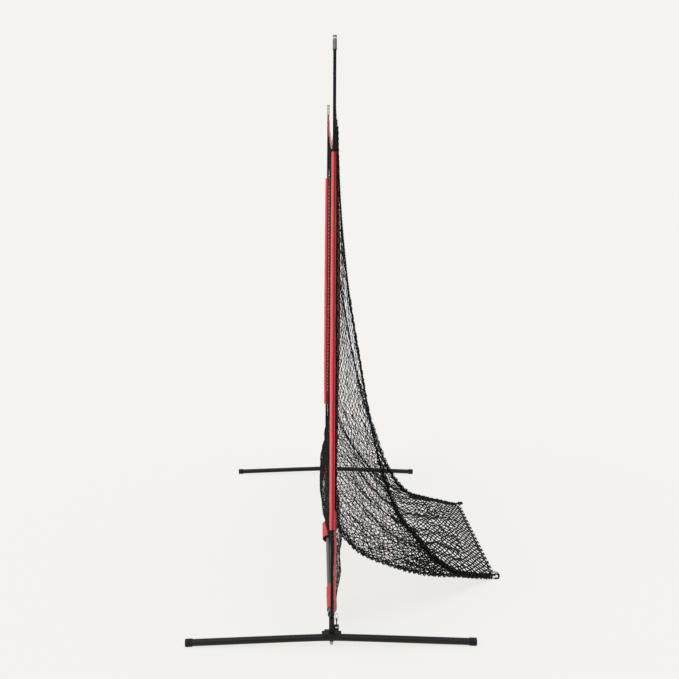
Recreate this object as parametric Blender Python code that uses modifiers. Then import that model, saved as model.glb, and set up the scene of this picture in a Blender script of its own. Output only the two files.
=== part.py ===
"""Seven-foot bow-frame golf net with side wings and a ball return, modelled as its separate pieces.

Metres, +Z up, floor at z = 0. X runs from the bare side to the side of the wings and the ball return, Y runs
along the base bar from the near pole (-Y) to the far pole (+Y). Everything is measured from the plane
of the two poles and hangs from one empty, which moves the origin to the middle of the whole footprint.
"""
import math

import bmesh
import bpy
from mathutils import Vector

# Whole frame
POLE_HEIGHT = 2.134  # floor to the pole tips, seven feet
HUB_SPAN = 2.18  # between the axes of the two pole sockets
TIP_LEAN = 0.15  # how far each tip is pulled inwards
FIT = 0.0003  # gap between pieces that touch
SEAM = 0.0005  # gap between pieces of cloth that are sewn together
ROPE_SEAM = 0.0003  # gap between a rope and the net that is laced to it
WELD = 0.001  # overlap of pieces that are welded into one
NEAR = -1
FAR = 1
SIDE_NAMES = {NEAR: "near", FAR: "far"}

# Feet
FOOT_LENGTH = 1.04  # over the end caps
FOOT_R = 0.0125
FOOT_WALL = 0.0014
FOOT_RISE = 0.019  # the middle stands this much higher than the ends
FOOT_BEND = 0.05  # softness of the bend in the middle
CAP_R = 0.0145
CAP_LENGTH = 0.025
CAP_END = 0.003
CAP_CHAMFER = 0.0015
SOLE_DEPTH = 0.0013  # flat moulded under each cap
FOOT_STATIONS = 8
STATION_CROWDING = 1.8  # draws the stations of the foot towards its bend

# Swivel stack under each hub
SADDLE_LENGTH = 0.07
SADDLE_WIDTH = 0.034
SADDLE_CROWN = 0.005  # above the top of the foot tube
PLATE_LENGTH = 0.052
PLATE_WIDTH = 0.040
PLATE_THICK = 0.003
WEB_THICK = 0.003
WEB_START = 0.006
WEB_END = 0.036
BOLT_R = 0.004
BOLT_HEAD_R = 0.0053
BOLT_HEAD = 0.004
BOLT_CHAMFER = 0.0008
WASHER_R = 0.008
WASHER_THICK = 0.0015
NUT_FLATS = 0.013
NUT_HEX = 0.0065
NUT_DOME = 0.0135
NUT_BORE = 0.0095
NUT_SHOULDER = 0.0006  # the dome is this much slimmer than the hexagon
DOME_STEPS = 4

# Base bar
BAR_R = 0.0125
BAR_WALL = 0.0013
BAR_LIFT = 0.0015  # bar above the hub plate
BAR_START = 0.108  # from the pole axis to the bar's end
NECK_R = 0.0085
NECK_WALL = 0.002
NECK_END = 0.100
SPIGOT_END = 0.175
SPIGOT_WALL = 0.0015
COUPLER_LENGTH = 0.24
BUTTON_R = 0.003
BUTTON_PROUD = 0.0034
BUTTON_FLANGE_R = 0.0046
BUTTON_FLANGE = 0.0012
BUTTON_CROWN = 0.0004
BUTTON_SHOULDER = 0.0016
HUB_BUTTON = 0.132  # from the pole axis
COUPLER_BUTTON = 0.060  # from the bar's middle, in the far half

# Poles
SOCKET_R = 0.0095
SOCKET_TOP = 0.107
POLE_R = 0.0055
FERRULE_WALL = 0.0006
FERRULE_LENGTH = 0.060
POLE_JOINTS = (0.745, 1.430)
TIP_CAP_R = 0.0073
TIP_CAP_LENGTH = 0.048
TIP_LIP_R = 0.0077
TIP_LIP = 0.006
TIP_DISC = 0.005
TIP_GROOVE = 0.0085
TIP_GROOVE_R = 0.0045
TIP_BORE = 0.026
TIP_CHAMFER = 0.001
TIP_TAIL = 0.004  # the strap's tail ends this far below the cap

# Lug and hook at each lower corner of the net
LUG_REACH = 0.0255
LUG_THICK = 0.003
LUG_LOW = 0.060
LUG_HIGH = 0.080
LUG_HOLE_R = 0.004
HOOK_WIRE_R = 0.0019
HOOK_HALF_WIDTH = 0.006
HOOK_EYE_R = 0.0075
HOOK_EYE_RISE = 0.025  # from the bend of the hook to the middle of its eye
HOOK_TIP = 0.003  # the straight end of the hook above its bend
HOOK_NECK_TURN = 0.35  # radians by which the eye starts beside the shank
HOOK_EYE_OPENING = 0.9  # radians that the eye is short of a full turn
STRAP_WIDTH = 0.005
STRAP_THICK = 0.0014
STRAP_LOOP_WIDTH = 0.011

# Red cloth round the frame
SLEEVE_LOW = 0.430
SLEEVE_HIGH = 1.740
SLEEVE_CLOTH = 0.0012
FLANGE_REACH = 0.015
FLANGE_THICK = 0.0024
FLANGE_SHORT = 0.004  # the flange stops this far inside each end of the sleeve
HEM_THICK = 0.003
TOP_HEM_WIDTH = 0.036
TOP_HEM_MIDDLE = 1.866  # the upper hem sags to this height
TOP_HEM_CORNER = 2.078
CORNER_LOW = 0.122  # height of the net's lower edge
BOTTOM_HEM_WIDTH = 0.030
SIDE_HEM_REACH = 0.018
PATCH_SIZE = 0.120
PATCH_THICK = 0.002
PATCH_TAPER = 0.15  # share of the patch's width left at its lower end
PATCH_SLANT = 0.4
TAB_LENGTH = 0.20
TAB_CLOTH = 0.0018
TAB_TAIL = 0.0024
TAB_SLACK = 0.0005  # room between a snug tab and the bar
TAB_STEPS = 20
TAB_FROM_HUB = 0.25  # from the pole axis to the middle of each outer tab
MIDDLE_TAB = -0.09
LOOSE_TAB_R = 0.017
LOOSE_TAB_SHIFT = -0.004
TIP_STRAP_WIDTH = 0.012

# Net in the frame
NET_THICK = 0.003
NET_PLANE = 0.012  # beside the sleeves it hangs this far behind the pole plane
NET_COLUMNS = 10
NET_ROWS = 12
NET_CORD = 0.010  # width of one strand group
BELLY = 0.055  # the lower half hangs towards the bare side by this much
BELLY_TOP = 0.80
BELLY_HEIGHT = 0.24
EDGE_SWELL = 0.022  # beside the poles it swells the other way
SWELL_PEAK = 0.05  # share of the net's width from the pole to the top of that swell

# Side wings and ball return
TRAIL_TOP = 1.850
TRAIL_REACH = 0.700  # from the pole plane to the back edge on the floor
TRAIL_HALF_WIDTH = 0.485
LOWER_TUCK = 0.0146  # its lower edge leaves the sleeves this far inside the poles
ROPE_R = 0.004
CORNER_SET = 2 * ROPE_R + ROPE_SEAM  # the border's last station before the eye, in from the back edge
CORNER_SPREAD = 2.6 * ROPE_R  # between the two ropes where they meet the eye
EYE_OPENING = 130  # degrees from the middle of the eye's back to each rope
BORDER_STATIONS = 16
ROUTE_STEPS = 12
LOWER_STATIONS = 10
EYE_STATIONS = 9
EYE_R = 0.013
RETURN_START = 1 / 18  # the ball return leaves the lower ropes this share below the sleeves
RETURN_COLUMNS = 20
RETURN_ROWS = 17  # from that start its rows fall on the stations of the lower ropes
RETURN_DRAW = 0.20  # share of its length that is drawn back to the net in the frame
RETURN_GAP = 0.002
CROSS_START = 0.065  # height between the two ropes where its edge leaves the lower one
CROSS_DONE = 0.015  # and where it has come to the border rope
PANEL_COLUMNS = 4
PANEL_ROWS = 48  # with this span their rows fall on the stations of both ropes
FOLD_DEPTH = 0.012
FOLDS = 5
HEM_SPLIT = 0.70  # share of the border that follows the pole
PANEL_SPAN = (2 / 15, 14 / 15)  # the side panels stop where they would be too narrow to sew
# The borders of the wings in side view, from the pole to the back corner (x, z)
BORDER_ROUTES = {
    NEAR: ((0.018, 1.850), (0.028, 1.577), (0.044, 1.368), (0.065, 1.190), (0.097, 1.006), (0.140, 0.775),
           (0.194, 0.556), (0.258, 0.384), (0.331, 0.280), (0.407, 0.178), (0.520, 0.075), (0.690, 0.0045)),
    FAR: ((0.018, 1.850), (0.028, 1.577), (0.044, 1.368), (0.065, 1.190), (0.097, 1.006), (0.140, 0.775),
          (0.194, 0.545), (0.262, 0.340), (0.322, 0.175), (0.385, 0.072), (0.455, 0.015), (0.520, 0.0045),
          (0.690, 0.0045)),
}
# Its lower edges in side view, from the foot of the sleeve to the back corner (x, z)
LOWER_ROUTES = {
    NEAR: ((0.0245, 0.425), (0.047, 0.385), (0.115, 0.303), (0.259, 0.200), (0.376, 0.134), (0.486, 0.088),
           (0.690, 0.0065)),
    FAR: ((0.0245, 0.425), (0.047, 0.385), (0.110, 0.270), (0.200, 0.150), (0.290, 0.060), (0.370, 0.018),
          (0.450, 0.0065), (0.690, 0.0065)),
}
LOWER_PACE = {NEAR: 0.2, FAR: 0.6}  # how much wider their stations are spaced towards the sleeve

# Heights and places that follow from the sizes above
TOP_SEAM = 2 * SEAM + (TOP_HEM_CORNER - TOP_HEM_MIDDLE) / NET_COLUMNS ** 2  # clears the hem's curve
FOOT_END_Z = CAP_R - SOLE_DEPTH
FOOT_TOP_Z = FOOT_END_Z + FOOT_RISE
SADDLE_TOP = FOOT_TOP_Z + FOOT_R + SADDLE_CROWN
PLATE_Z = SADDLE_TOP + FIT
PLATE_TOP = PLATE_Z + PLATE_THICK
BAR_Z = PLATE_TOP + BAR_LIFT + BAR_R
BAR_BORE_R = BAR_R - BAR_WALL
SPIGOT_R = BAR_BORE_R - FIT
POLE_FOOT = PLATE_TOP + FIT + BOLT_HEAD + FIT
POLE_BORE_R = POLE_R + FIT
FERRULE_R = POLE_BORE_R + FERRULE_WALL
SLEEVE_BORE_R = FERRULE_R + 2 * FIT
SLEEVE_R = SLEEVE_BORE_R + SLEEVE_CLOTH
LUG_X = (SOCKET_R + LUG_REACH) / 2
HOOK_BEND_Z = (LUG_LOW + LUG_HIGH) / 2 + LUG_HOLE_R - HOOK_WIRE_R - 3 * FIT
CORNER_X = 0.016
FOOTPRINT_BACK = TRAIL_REACH + 2 * EYE_R + ROPE_R
FRAME_X = (FOOT_LENGTH / 2 - FOOTPRINT_BACK) / 2

# Colours (linear RGB), roughness and metallic share
POWDER_COAT = ((0.012, 0.012, 0.013), 0.42, 0.2)
MOULDED_BLACK = ((0.009, 0.009, 0.009), 0.55, 0.0)
FIBREGLASS = ((0.008, 0.008, 0.009), 0.35, 0.0)
ZINC_STEEL = ((0.33, 0.34, 0.34), 0.38, 1.0)
RED_CANVAS = ((0.55, 0.03, 0.045), 0.85, 0.0)
PALE_WEBBING = ((0.66, 0.65, 0.62), 0.85, 0.0)
BLACK_TWINE = ((0.010, 0.010, 0.011), 0.9, 0.0)

for leftover in list(bpy.data.objects):
    bpy.data.objects.remove(leftover, do_unlink=True)

parts = bpy.data.collections.new("bow_frame_golf_net")
cutters = bpy.data.collections.new("cutters")
bpy.context.scene.collection.children.link(parts)
bpy.context.scene.collection.children.link(cutters)


def new_empty(name, parent, location, rotation=(0, 0, 0)):
    empty = bpy.data.objects.new(name, None)
    parts.objects.link(empty)
    empty.parent = parent
    empty.location = location
    empty.rotation_euler = rotation
    return empty


def new_piece(name, data, parent, location=(0, 0, 0), rotation=(0, 0, 0)):
    piece = bpy.data.objects.new(name, data)
    parts.objects.link(piece)
    piece.parent = parent
    piece.location = location
    piece.rotation_euler = rotation
    return piece


def as_tool(piece):
    """Turn a piece into a shape that only cuts or joins another one."""
    parts.objects.unlink(piece)
    cutters.objects.link(piece)
    piece.hide_render = True
    piece.display_type = "WIRE"
    return piece


def combine(piece, tool, operation):
    modifier = piece.modifiers.new(tool.name, "BOOLEAN")
    modifier.operation = operation
    modifier.object = as_tool(tool)
    modifier.solver = "EXACT"


def finish(piece, look, smooth=True):
    colour, roughness, metallic = look
    material = bpy.data.materials.new(piece.name + "_finish")
    material.use_nodes = True
    shader = material.node_tree.nodes["Principled BSDF"]
    shader.inputs["Base Color"].default_value = (*colour, 1.0)
    shader.inputs["Roughness"].default_value = roughness
    shader.inputs["Metallic"].default_value = metallic
    material.diffuse_color = (*colour, 1.0)
    piece.data.materials.append(material)
    if smooth and piece.type == "MESH":
        piece.data.shade_smooth()
        piece.data.set_sharp_from_angle(angle=math.radians(40))
    return piece


def turned_mesh(name, profile, closed):
    """Edges of a turned profile, given as (radius, height) down the outer side."""
    count = len(profile)
    last = count if closed else count - 1
    edges = [(i, (i + 1) % count) for i in range(last)]
    mesh = bpy.data.meshes.new(name)
    mesh.from_pydata([(radius, 0, height) for radius, height in profile], edges, [])
    return mesh


def turned(name, profile, parent, location=(0, 0, 0), rotation=(0, 0, 0), steps=16, closed=False):
    piece = new_piece(name, turned_mesh(name, profile, closed), parent, location, rotation)
    screw = piece.modifiers.new("turn", "SCREW")
    screw.axis = "Z"
    screw.steps = steps
    screw.render_steps = steps
    screw.use_merge_vertices = True
    screw.merge_threshold = 0.00002
    screw.use_smooth_shade = True
    return piece


def pipe(name, outer, inner, low, high, parent, location=(0, 0, 0), rotation=(0, 0, 0), steps=16):
    profile = [(outer, high), (outer, low), (inner, low), (inner, high)]
    return turned(name, profile, parent, location, rotation, steps, closed=True)


def cylinder(name, radius, low, high, parent, location=(0, 0, 0), rotation=(0, 0, 0), steps=16):
    mesh = bpy.data.meshes.new(name)
    bm = bmesh.new()
    bmesh.ops.create_cone(bm, cap_ends=True, segments=steps, radius1=radius, radius2=radius, depth=high - low)
    bmesh.ops.translate(bm, verts=bm.verts, vec=(0, 0, (low + high) / 2))
    bm.to_mesh(mesh)
    bm.free()
    return new_piece(name, mesh, parent, location, rotation)


def block(name, low, high, parent, location=(0, 0, 0), rotation=(0, 0, 0)):
    size = Vector(high) - Vector(low)
    mesh = bpy.data.meshes.new(name)
    bm = bmesh.new()
    bmesh.ops.create_cube(bm, size=1)
    bmesh.ops.scale(bm, verts=bm.verts, vec=size)
    bmesh.ops.translate(bm, verts=bm.verts, vec=(Vector(low) + Vector(high)) / 2)
    bm.to_mesh(mesh)
    bm.free()
    return new_piece(name, mesh, parent, location, rotation)


def soften(piece, width, segments=2):
    bevel = piece.modifiers.new("soften", "BEVEL")
    bevel.width = width
    bevel.segments = segments
    bevel.limit_method = "ANGLE"


def route_curve(name, points, radius, resolution):
    curve = bpy.data.curves.new(name, "CURVE")
    curve.dimensions = "3D"
    curve.bevel_depth = radius
    curve.bevel_resolution = resolution
    curve.use_fill_caps = True
    spline = curve.splines.new("POLY")
    spline.points.add(len(points) - 1)
    for place, point in zip(spline.points, points):
        place.co = (*point, 1.0)
    return curve


def rod(name, points, radius, parent, location=(0, 0, 0), rotation=(0, 0, 0), resolution=4):
    return new_piece(name, route_curve(name, points, radius, resolution), parent, location, rotation)


def as_mesh(piece):
    """Replace a curve piece by its welded mesh, so that it can be cut."""
    bpy.context.view_layer.update()
    graph = bpy.context.evaluated_depsgraph_get()
    mesh = bpy.data.meshes.new_from_object(piece.evaluated_get(graph))
    bm = bmesh.new()
    bm.from_mesh(mesh)
    bmesh.ops.remove_doubles(bm, verts=bm.verts, dist=0.00005)
    bmesh.ops.recalc_face_normals(bm, faces=bm.faces)
    bm.to_mesh(mesh)
    bm.free()
    name = piece.name
    place = piece.matrix_world.copy()
    parent = piece.parent
    bpy.data.objects.remove(piece, do_unlink=True)
    solid = new_piece(name, mesh, parent)
    bpy.context.view_layer.update()
    solid.matrix_world = place
    return solid


def flat_outline(name, outlines, half_thickness, parent, location=(0, 0, 0), rotation=(0, 0, 0)):
    """A plate from closed outlines in its own X and Y; the second outline is a hole."""
    curve = bpy.data.curves.new(name, "CURVE")
    curve.dimensions = "2D"
    curve.fill_mode = "BOTH"
    curve.extrude = half_thickness
    for outline in outlines:
        spline = curve.splines.new("POLY")
        spline.points.add(len(outline) - 1)
        spline.use_cyclic_u = True
        for place, (x, y) in zip(spline.points, outline):
            place.co = (x, y, 0, 1.0)
    return as_mesh(new_piece(name, curve, parent, location, rotation))


def sheet(name, columns, rows, place, thickness, parent, cord=0.0, flat_size=(1, 1)):
    """A cloth of one thickness: place(across, along) gives its middle surface, both from 0 to 1.

    With a cord width the sheet is a net: the holes are cut in its flat size before it is put in place.
    """
    mesh = bpy.data.meshes.new(name)
    bm = bmesh.new()
    bmesh.ops.create_grid(bm, x_segments=columns, y_segments=rows, size=0.5)
    if cord > 0:
        width, height = flat_size
        bmesh.ops.scale(bm, verts=bm.verts, vec=(width, height, 1))
        cells = list(bm.faces)
        bmesh.ops.inset_individual(bm, faces=cells, thickness=cord / 2, use_even_offset=True)
        bmesh.ops.delete(bm, geom=cells, context="FACES")
        bmesh.ops.scale(bm, verts=bm.verts, vec=(1 / width, 1 / height, 1))
    for vertex in bm.verts:
        vertex.co = place(vertex.co.x + 0.5, vertex.co.y + 0.5)
    bmesh.ops.recalc_face_normals(bm, faces=bm.faces)
    bm.to_mesh(mesh)
    bm.free()
    piece = new_piece(name, mesh, parent)
    solidify = piece.modifiers.new("cloth", "SOLIDIFY")
    solidify.thickness = thickness
    solidify.offset = 0
    solidify.use_even_offset = False
    return piece


def ramp(value, stops):
    """Straight lines between (value, result) stops, level beyond the ends."""
    if value <= stops[0][0]:
        return stops[0][1]
    for (low, first), (high, second) in zip(stops, stops[1:]):
        if value <= high:
            return first + (second - first) * (value - low) / (high - low)
    return stops[-1][1]


def smooth_route(points, count, pace=0.0):
    """Points along a smooth curve through the given ones (Catmull-Rom), evenly spaced where pace is 0."""
    knots = [Vector(point) for point in points]
    knots = [2 * knots[0] - knots[1], *knots, 2 * knots[-1] - knots[-2]]
    dense = []
    for before, start, end, after in zip(knots, knots[1:], knots[2:], knots[3:]):
        for step in range(ROUTE_STEPS):
            t = step / ROUTE_STEPS
            bend = 2 * before - 5 * start + 4 * end - after
            twist = 3 * start - before - 3 * end + after
            dense.append((2 * start + (end - before) * t + bend * t ** 2 + twist * t ** 3) / 2)
    dense.append(knots[-2])
    lengths = [0.0]
    for first, second in zip(dense, dense[1:]):
        lengths.append(lengths[-1] + (second - first).length)
    result = []
    for index in range(count):
        part = index / (count - 1)
        target = lengths[-1] * (part + pace * part * (1 - part))
        place = max(i for i, length in enumerate(lengths) if length <= target + 1e-9)
        place = min(place, len(dense) - 2)
        share = (target - lengths[place]) / (lengths[place + 1] - lengths[place])
        result.append(dense[place].lerp(dense[place + 1], share))
    return result


def along(route, share):
    """The point at a share, 0 to 1, of a route's stations, and straight on beyond its ends."""
    position = share * (len(route) - 1)
    index = max(0, min(int(position), len(route) - 2))
    return route[index].lerp(route[index + 1], position - index)


def pole_y(height):
    """Distance of the pole's centre line from the middle: upright in its socket, then bent inwards."""
    share = max(0.0, (height - SOCKET_TOP) / (POLE_HEIGHT - SOCKET_TOP))
    return HUB_SPAN / 2 - TIP_LEAN * (3 * share ** 2 - share ** 3) / 2


def pole_tilt(height):
    step = 0.001
    return math.atan((pole_y(height - step) - pole_y(height + step)) / (2 * step))


def foot_height(x):
    """Height of the foot tube's centre line, highest at the hub."""
    bend = math.hypot(x, FOOT_BEND) - FOOT_BEND
    full = math.hypot(FOOT_LENGTH / 2, FOOT_BEND) - FOOT_BEND
    return FOOT_TOP_Z - FOOT_RISE * bend / full


def foot_points(reach):
    shares = [2 * i / FOOT_STATIONS - 1 for i in range(FOOT_STATIONS + 1)]
    stations = [reach * math.copysign(abs(share) ** STATION_CROWDING, share) for share in shares]
    return [(x, 0, foot_height(x)) for x in stations]


def make_foot(side, hub):
    name = SIDE_NAMES[side]
    swivel = new_empty(name + "_foot_swivel", hub, (0, 0, 0))
    reach = FOOT_LENGTH / 2 - CAP_END - FIT
    tube = as_mesh(rod(name + "_foot_tube", foot_points(reach), FOOT_R, swivel, resolution=4))
    bore = rod(name + "_foot_bore", foot_points(FOOT_LENGTH / 2 + CAP_END), FOOT_R - FOOT_WALL, swivel, resolution=4)
    combine(tube, as_mesh(bore), "DIFFERENCE")
    hole_span = (FOOT_TOP_Z - 2 * FOOT_R, FOOT_TOP_Z + 2 * FOOT_R)
    combine(tube, cylinder(name + "_foot_bolt_hole", BOLT_R + FIT, *hole_span, swivel), "DIFFERENCE")
    finish(tube, POWDER_COAT)
    slope = math.atan((foot_height(FOOT_LENGTH / 2 - 0.01) - foot_height(FOOT_LENGTH / 2)) / 0.01)
    for end, place in ((-1, "front"), (1, "back")):
        make_foot_cap(name + "_foot_cap_" + place, end, slope, swivel)
    make_saddle(name, swivel)
    return swivel


def make_foot_cap(name, end, slope, swivel):
    bore = FOOT_R + FIT
    profile = [(0, 0), (CAP_R - CAP_CHAMFER, 0), (CAP_R, -CAP_CHAMFER), (CAP_R, -CAP_LENGTH),
               (bore, -CAP_LENGTH), (bore, -CAP_END), (0, -CAP_END)]
    place = (end * FOOT_LENGTH / 2, 0, foot_height(FOOT_LENGTH / 2))
    cap = turned(name, profile, swivel, place, (0, end * (math.pi / 2 + slope), 0), steps=20)
    reach = FOOT_LENGTH / 2 + CAP_LENGTH
    inner = FOOT_LENGTH / 2 - 2 * CAP_LENGTH
    low = (min(end * inner, end * reach), -2 * CAP_R, -2 * CAP_R)
    high = (max(end * inner, end * reach), 2 * CAP_R, 0)
    combine(cap, block(name + "_sole", low, high, swivel), "DIFFERENCE")
    finish(cap, MOULDED_BLACK)


def make_saddle(name, swivel):
    low = (-SADDLE_LENGTH / 2, -SADDLE_WIDTH / 2, FOOT_TOP_Z)
    high = (SADDLE_LENGTH / 2, SADDLE_WIDTH / 2, SADDLE_TOP)
    saddle = block(name + "_swivel_saddle", low, high, swivel)
    soften(saddle, 0.002, 1)
    seat = rod(name + "_saddle_seat", foot_points(SADDLE_LENGTH), FOOT_R + 2 * FIT, swivel, resolution=4)
    combine(saddle, as_mesh(seat), "DIFFERENCE")
    hole = cylinder(name + "_saddle_hole", BOLT_R + FIT, FOOT_TOP_Z, SADDLE_TOP + FOOT_R, swivel)
    combine(saddle, hole, "DIFFERENCE")
    finish(saddle, MOULDED_BLACK)


def make_pivot(side, hub):
    """Bolt, washer and domed nut that the foot turns on."""
    name = SIDE_NAMES[side]
    head = PLATE_TOP + FIT
    washer_top = FOOT_TOP_Z - FOOT_R - FIT
    nut_top = washer_top - WASHER_THICK - FIT
    bolt_low = nut_top - NUT_BORE + 2 * FIT
    bolt = [(0, head + BOLT_HEAD), (BOLT_HEAD_R - BOLT_CHAMFER, head + BOLT_HEAD),
            (BOLT_HEAD_R, head + BOLT_HEAD - BOLT_CHAMFER), (BOLT_HEAD_R, head), (BOLT_R, head),
            (BOLT_R, bolt_low), (0, bolt_low)]
    finish(turned(name + "_pivot_bolt", bolt, hub), ZINC_STEEL)
    washer = pipe(name + "_pivot_washer", WASHER_R, BOLT_R + FIT, washer_top - WASHER_THICK, washer_top, hub)
    finish(washer, ZINC_STEEL)
    corner_r = NUT_FLATS / 2 / math.cos(math.pi / 6)
    nut = cylinder(name + "_pivot_cap_nut", corner_r, nut_top - NUT_HEX, nut_top, hub, steps=6)
    low = nut_top - NUT_DOME
    dome_r = NUT_FLATS / 2 - NUT_SHOULDER
    spring = nut_top - NUT_HEX - WELD
    dome = [(0, nut_top - WELD), (dome_r, nut_top - WELD), (dome_r, spring)]
    for step in range(1, DOME_STEPS):
        angle = math.pi / 2 * step / DOME_STEPS
        dome.append((dome_r * math.cos(angle), spring - (spring - low) * math.sin(angle)))
    dome.append((0, low))
    combine(nut, turned(name + "_nut_dome", dome, hub), "UNION")
    bore = cylinder(name + "_nut_bore", BOLT_R + FIT, nut_top - NUT_BORE, nut_top + NUT_BORE, hub)
    combine(nut, bore, "DIFFERENCE")
    finish(nut, ZINC_STEEL)


def make_hub_bracket(side, hub):
    """Base plate, pole socket, spigot for the base bar and hook lug, welded into one piece."""
    name = SIDE_NAMES[side]
    low = (-PLATE_LENGTH / 2, -PLATE_WIDTH / 2, PLATE_Z)
    high = (PLATE_LENGTH / 2, PLATE_WIDTH / 2, PLATE_TOP)
    bracket = block(name + "_hub_bracket", low, high, hub)
    socket = cylinder(name + "_socket", SOCKET_R, PLATE_TOP - WELD, SOCKET_TOP, hub)
    combine(bracket, socket, "UNION")
    flare = SPIGOT_R - NECK_R
    wide_r = SPIGOT_R - SPIGOT_WALL
    slim_r = NECK_R - NECK_WALL
    start = POLE_BORE_R + FIT
    spigot = [(SPIGOT_R, SPIGOT_END), (SPIGOT_R, NECK_END + flare), (NECK_R, NECK_END), (NECK_R, start),
              (slim_r, start), (slim_r, NECK_END + WELD), (wide_r, NECK_END + flare + WELD), (wide_r, SPIGOT_END)]
    spigot_tool = turned(name + "_spigot", spigot, hub, (0, 0, BAR_Z), (side * math.pi / 2, 0, 0), closed=True)
    combine(bracket, spigot_tool, "UNION")
    web_low = (-WEB_THICK / 2, min(-side * WEB_START, -side * WEB_END), PLATE_TOP - WELD)
    web_high = (WEB_THICK / 2, max(-side * WEB_START, -side * WEB_END), BAR_Z - NECK_R + WELD)
    combine(bracket, block(name + "_web", web_low, web_high, hub), "UNION")
    lug_low = (SOCKET_R - WELD, -LUG_THICK / 2, LUG_LOW)
    lug_high = (LUG_REACH, LUG_THICK / 2, LUG_HIGH)
    combine(bracket, block(name + "_lug", lug_low, lug_high, hub), "UNION")
    bore = cylinder(name + "_socket_bore", POLE_BORE_R, PLATE_TOP, SOCKET_TOP + SOCKET_R, hub)
    combine(bracket, bore, "DIFFERENCE")
    hole = cylinder(name + "_plate_hole", BOLT_R + FIT, PLATE_Z - PLATE_THICK, PLATE_TOP + PLATE_THICK, hub)
    combine(bracket, hole, "DIFFERENCE")
    eye_z = (LUG_LOW + LUG_HIGH) / 2
    eye = cylinder(name + "_lug_eye", LUG_HOLE_R, -LUG_THICK, LUG_THICK, hub, (LUG_X, 0, eye_z), (math.pi / 2, 0, 0))
    combine(bracket, eye, "DIFFERENCE")
    button_y = -side * HUB_BUTTON
    combine(bracket, button_hole(name + "_spigot_button_hole", hub, button_y), "DIFFERENCE")
    finish(bracket, POWDER_COAT)
    make_button(name + "_hub_snap_button", hub, button_y)


def button_hole(name, parent, y):
    return cylinder(name, BUTTON_R + FIT, BAR_R / 3, 2 * BAR_R, parent, (0, y, BAR_Z), (0, math.pi / 2, 0), steps=16)


def make_button(name, parent, y):
    """Domed catch that stands out of the bar on its back side and is pressed in to part the tubes."""
    top = BAR_R + BUTTON_PROUD
    wide_r = SPIGOT_R - SPIGOT_WALL
    flange_top = math.sqrt(wide_r ** 2 - BUTTON_FLANGE_R ** 2) - FIT
    profile = [(0, top), (BUTTON_R * 0.6, top - BUTTON_CROWN), (BUTTON_R, top - BUTTON_SHOULDER),
               (BUTTON_R, flange_top), (BUTTON_FLANGE_R, flange_top),
               (BUTTON_FLANGE_R, flange_top - BUTTON_FLANGE), (0, flange_top - BUTTON_FLANGE)]
    button = turned(name, profile, parent, (0, y, BAR_Z), (0, math.pi / 2, 0), steps=16)
    finish(button, ZINC_STEEL)


def make_base_bar(root):
    """Two halves of the bar on one coupler, which is fixed in the near half."""
    outer = HUB_SPAN / 2 - BAR_START
    for side in (NEAR, FAR):
        name = "base_bar_" + SIDE_NAMES[side]
        low = min(side * outer, side * FIT / 2)
        high = max(side * outer, side * FIT / 2)
        bar = pipe(name, BAR_R, BAR_BORE_R, -high, -low, root, (0, 0, BAR_Z), (math.pi / 2, 0, 0), steps=22)
        button_y = side * (HUB_SPAN / 2 - HUB_BUTTON)
        combine(bar, button_hole(name + "_hub_hole", root, button_y), "DIFFERENCE")
        if side == FAR:
            combine(bar, button_hole(name + "_coupler_hole", root, COUPLER_BUTTON), "DIFFERENCE")
        finish(bar, POWDER_COAT)
    half = COUPLER_LENGTH / 2
    inner = SPIGOT_R - SPIGOT_WALL
    coupler = pipe("base_bar_coupler", SPIGOT_R, inner, -half, half, root, (0, 0, BAR_Z), (math.pi / 2, 0, 0), steps=22)
    combine(coupler, button_hole("coupler_button_hole", root, COUPLER_BUTTON), "DIFFERENCE")
    finish(coupler, ZINC_STEEL)
    make_button("coupler_snap_button", root, COUPLER_BUTTON)


def pole_points(side, low, high, count):
    heights = [low + (high - low) * i / (count - 1) for i in range(count)]
    return [(0, side * pole_y(height), height) for height in heights]


def on_pole(side, height):
    """Place and rotation that line a turned piece up with the bent pole at one height."""
    return (0, side * pole_y(height), height), (side * pole_tilt(height), 0, 0)


def make_pole(side, root):
    name = SIDE_NAMES[side]
    top = POLE_HEIGHT - TIP_CAP_LENGTH + TIP_BORE - FIT
    ends = (POLE_FOOT, *POLE_JOINTS, top)
    for place, low, high in zip(("lower", "middle", "upper"), ends, ends[1:]):
        points = pole_points(side, low + FIT / 2, high - FIT / 2, 7)
        finish(rod(name + "_pole_" + place, points, POLE_R, root, resolution=4), FIBREGLASS)
    half = FERRULE_LENGTH / 2
    for place, height in zip(("lower", "upper"), POLE_JOINTS):
        location, rotation = on_pole(side, height)
        ferrule = pipe(name + "_ferrule_" + place, FERRULE_R, POLE_BORE_R, -half, half, root, location, rotation)
        finish(ferrule, ZINC_STEEL)


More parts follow.
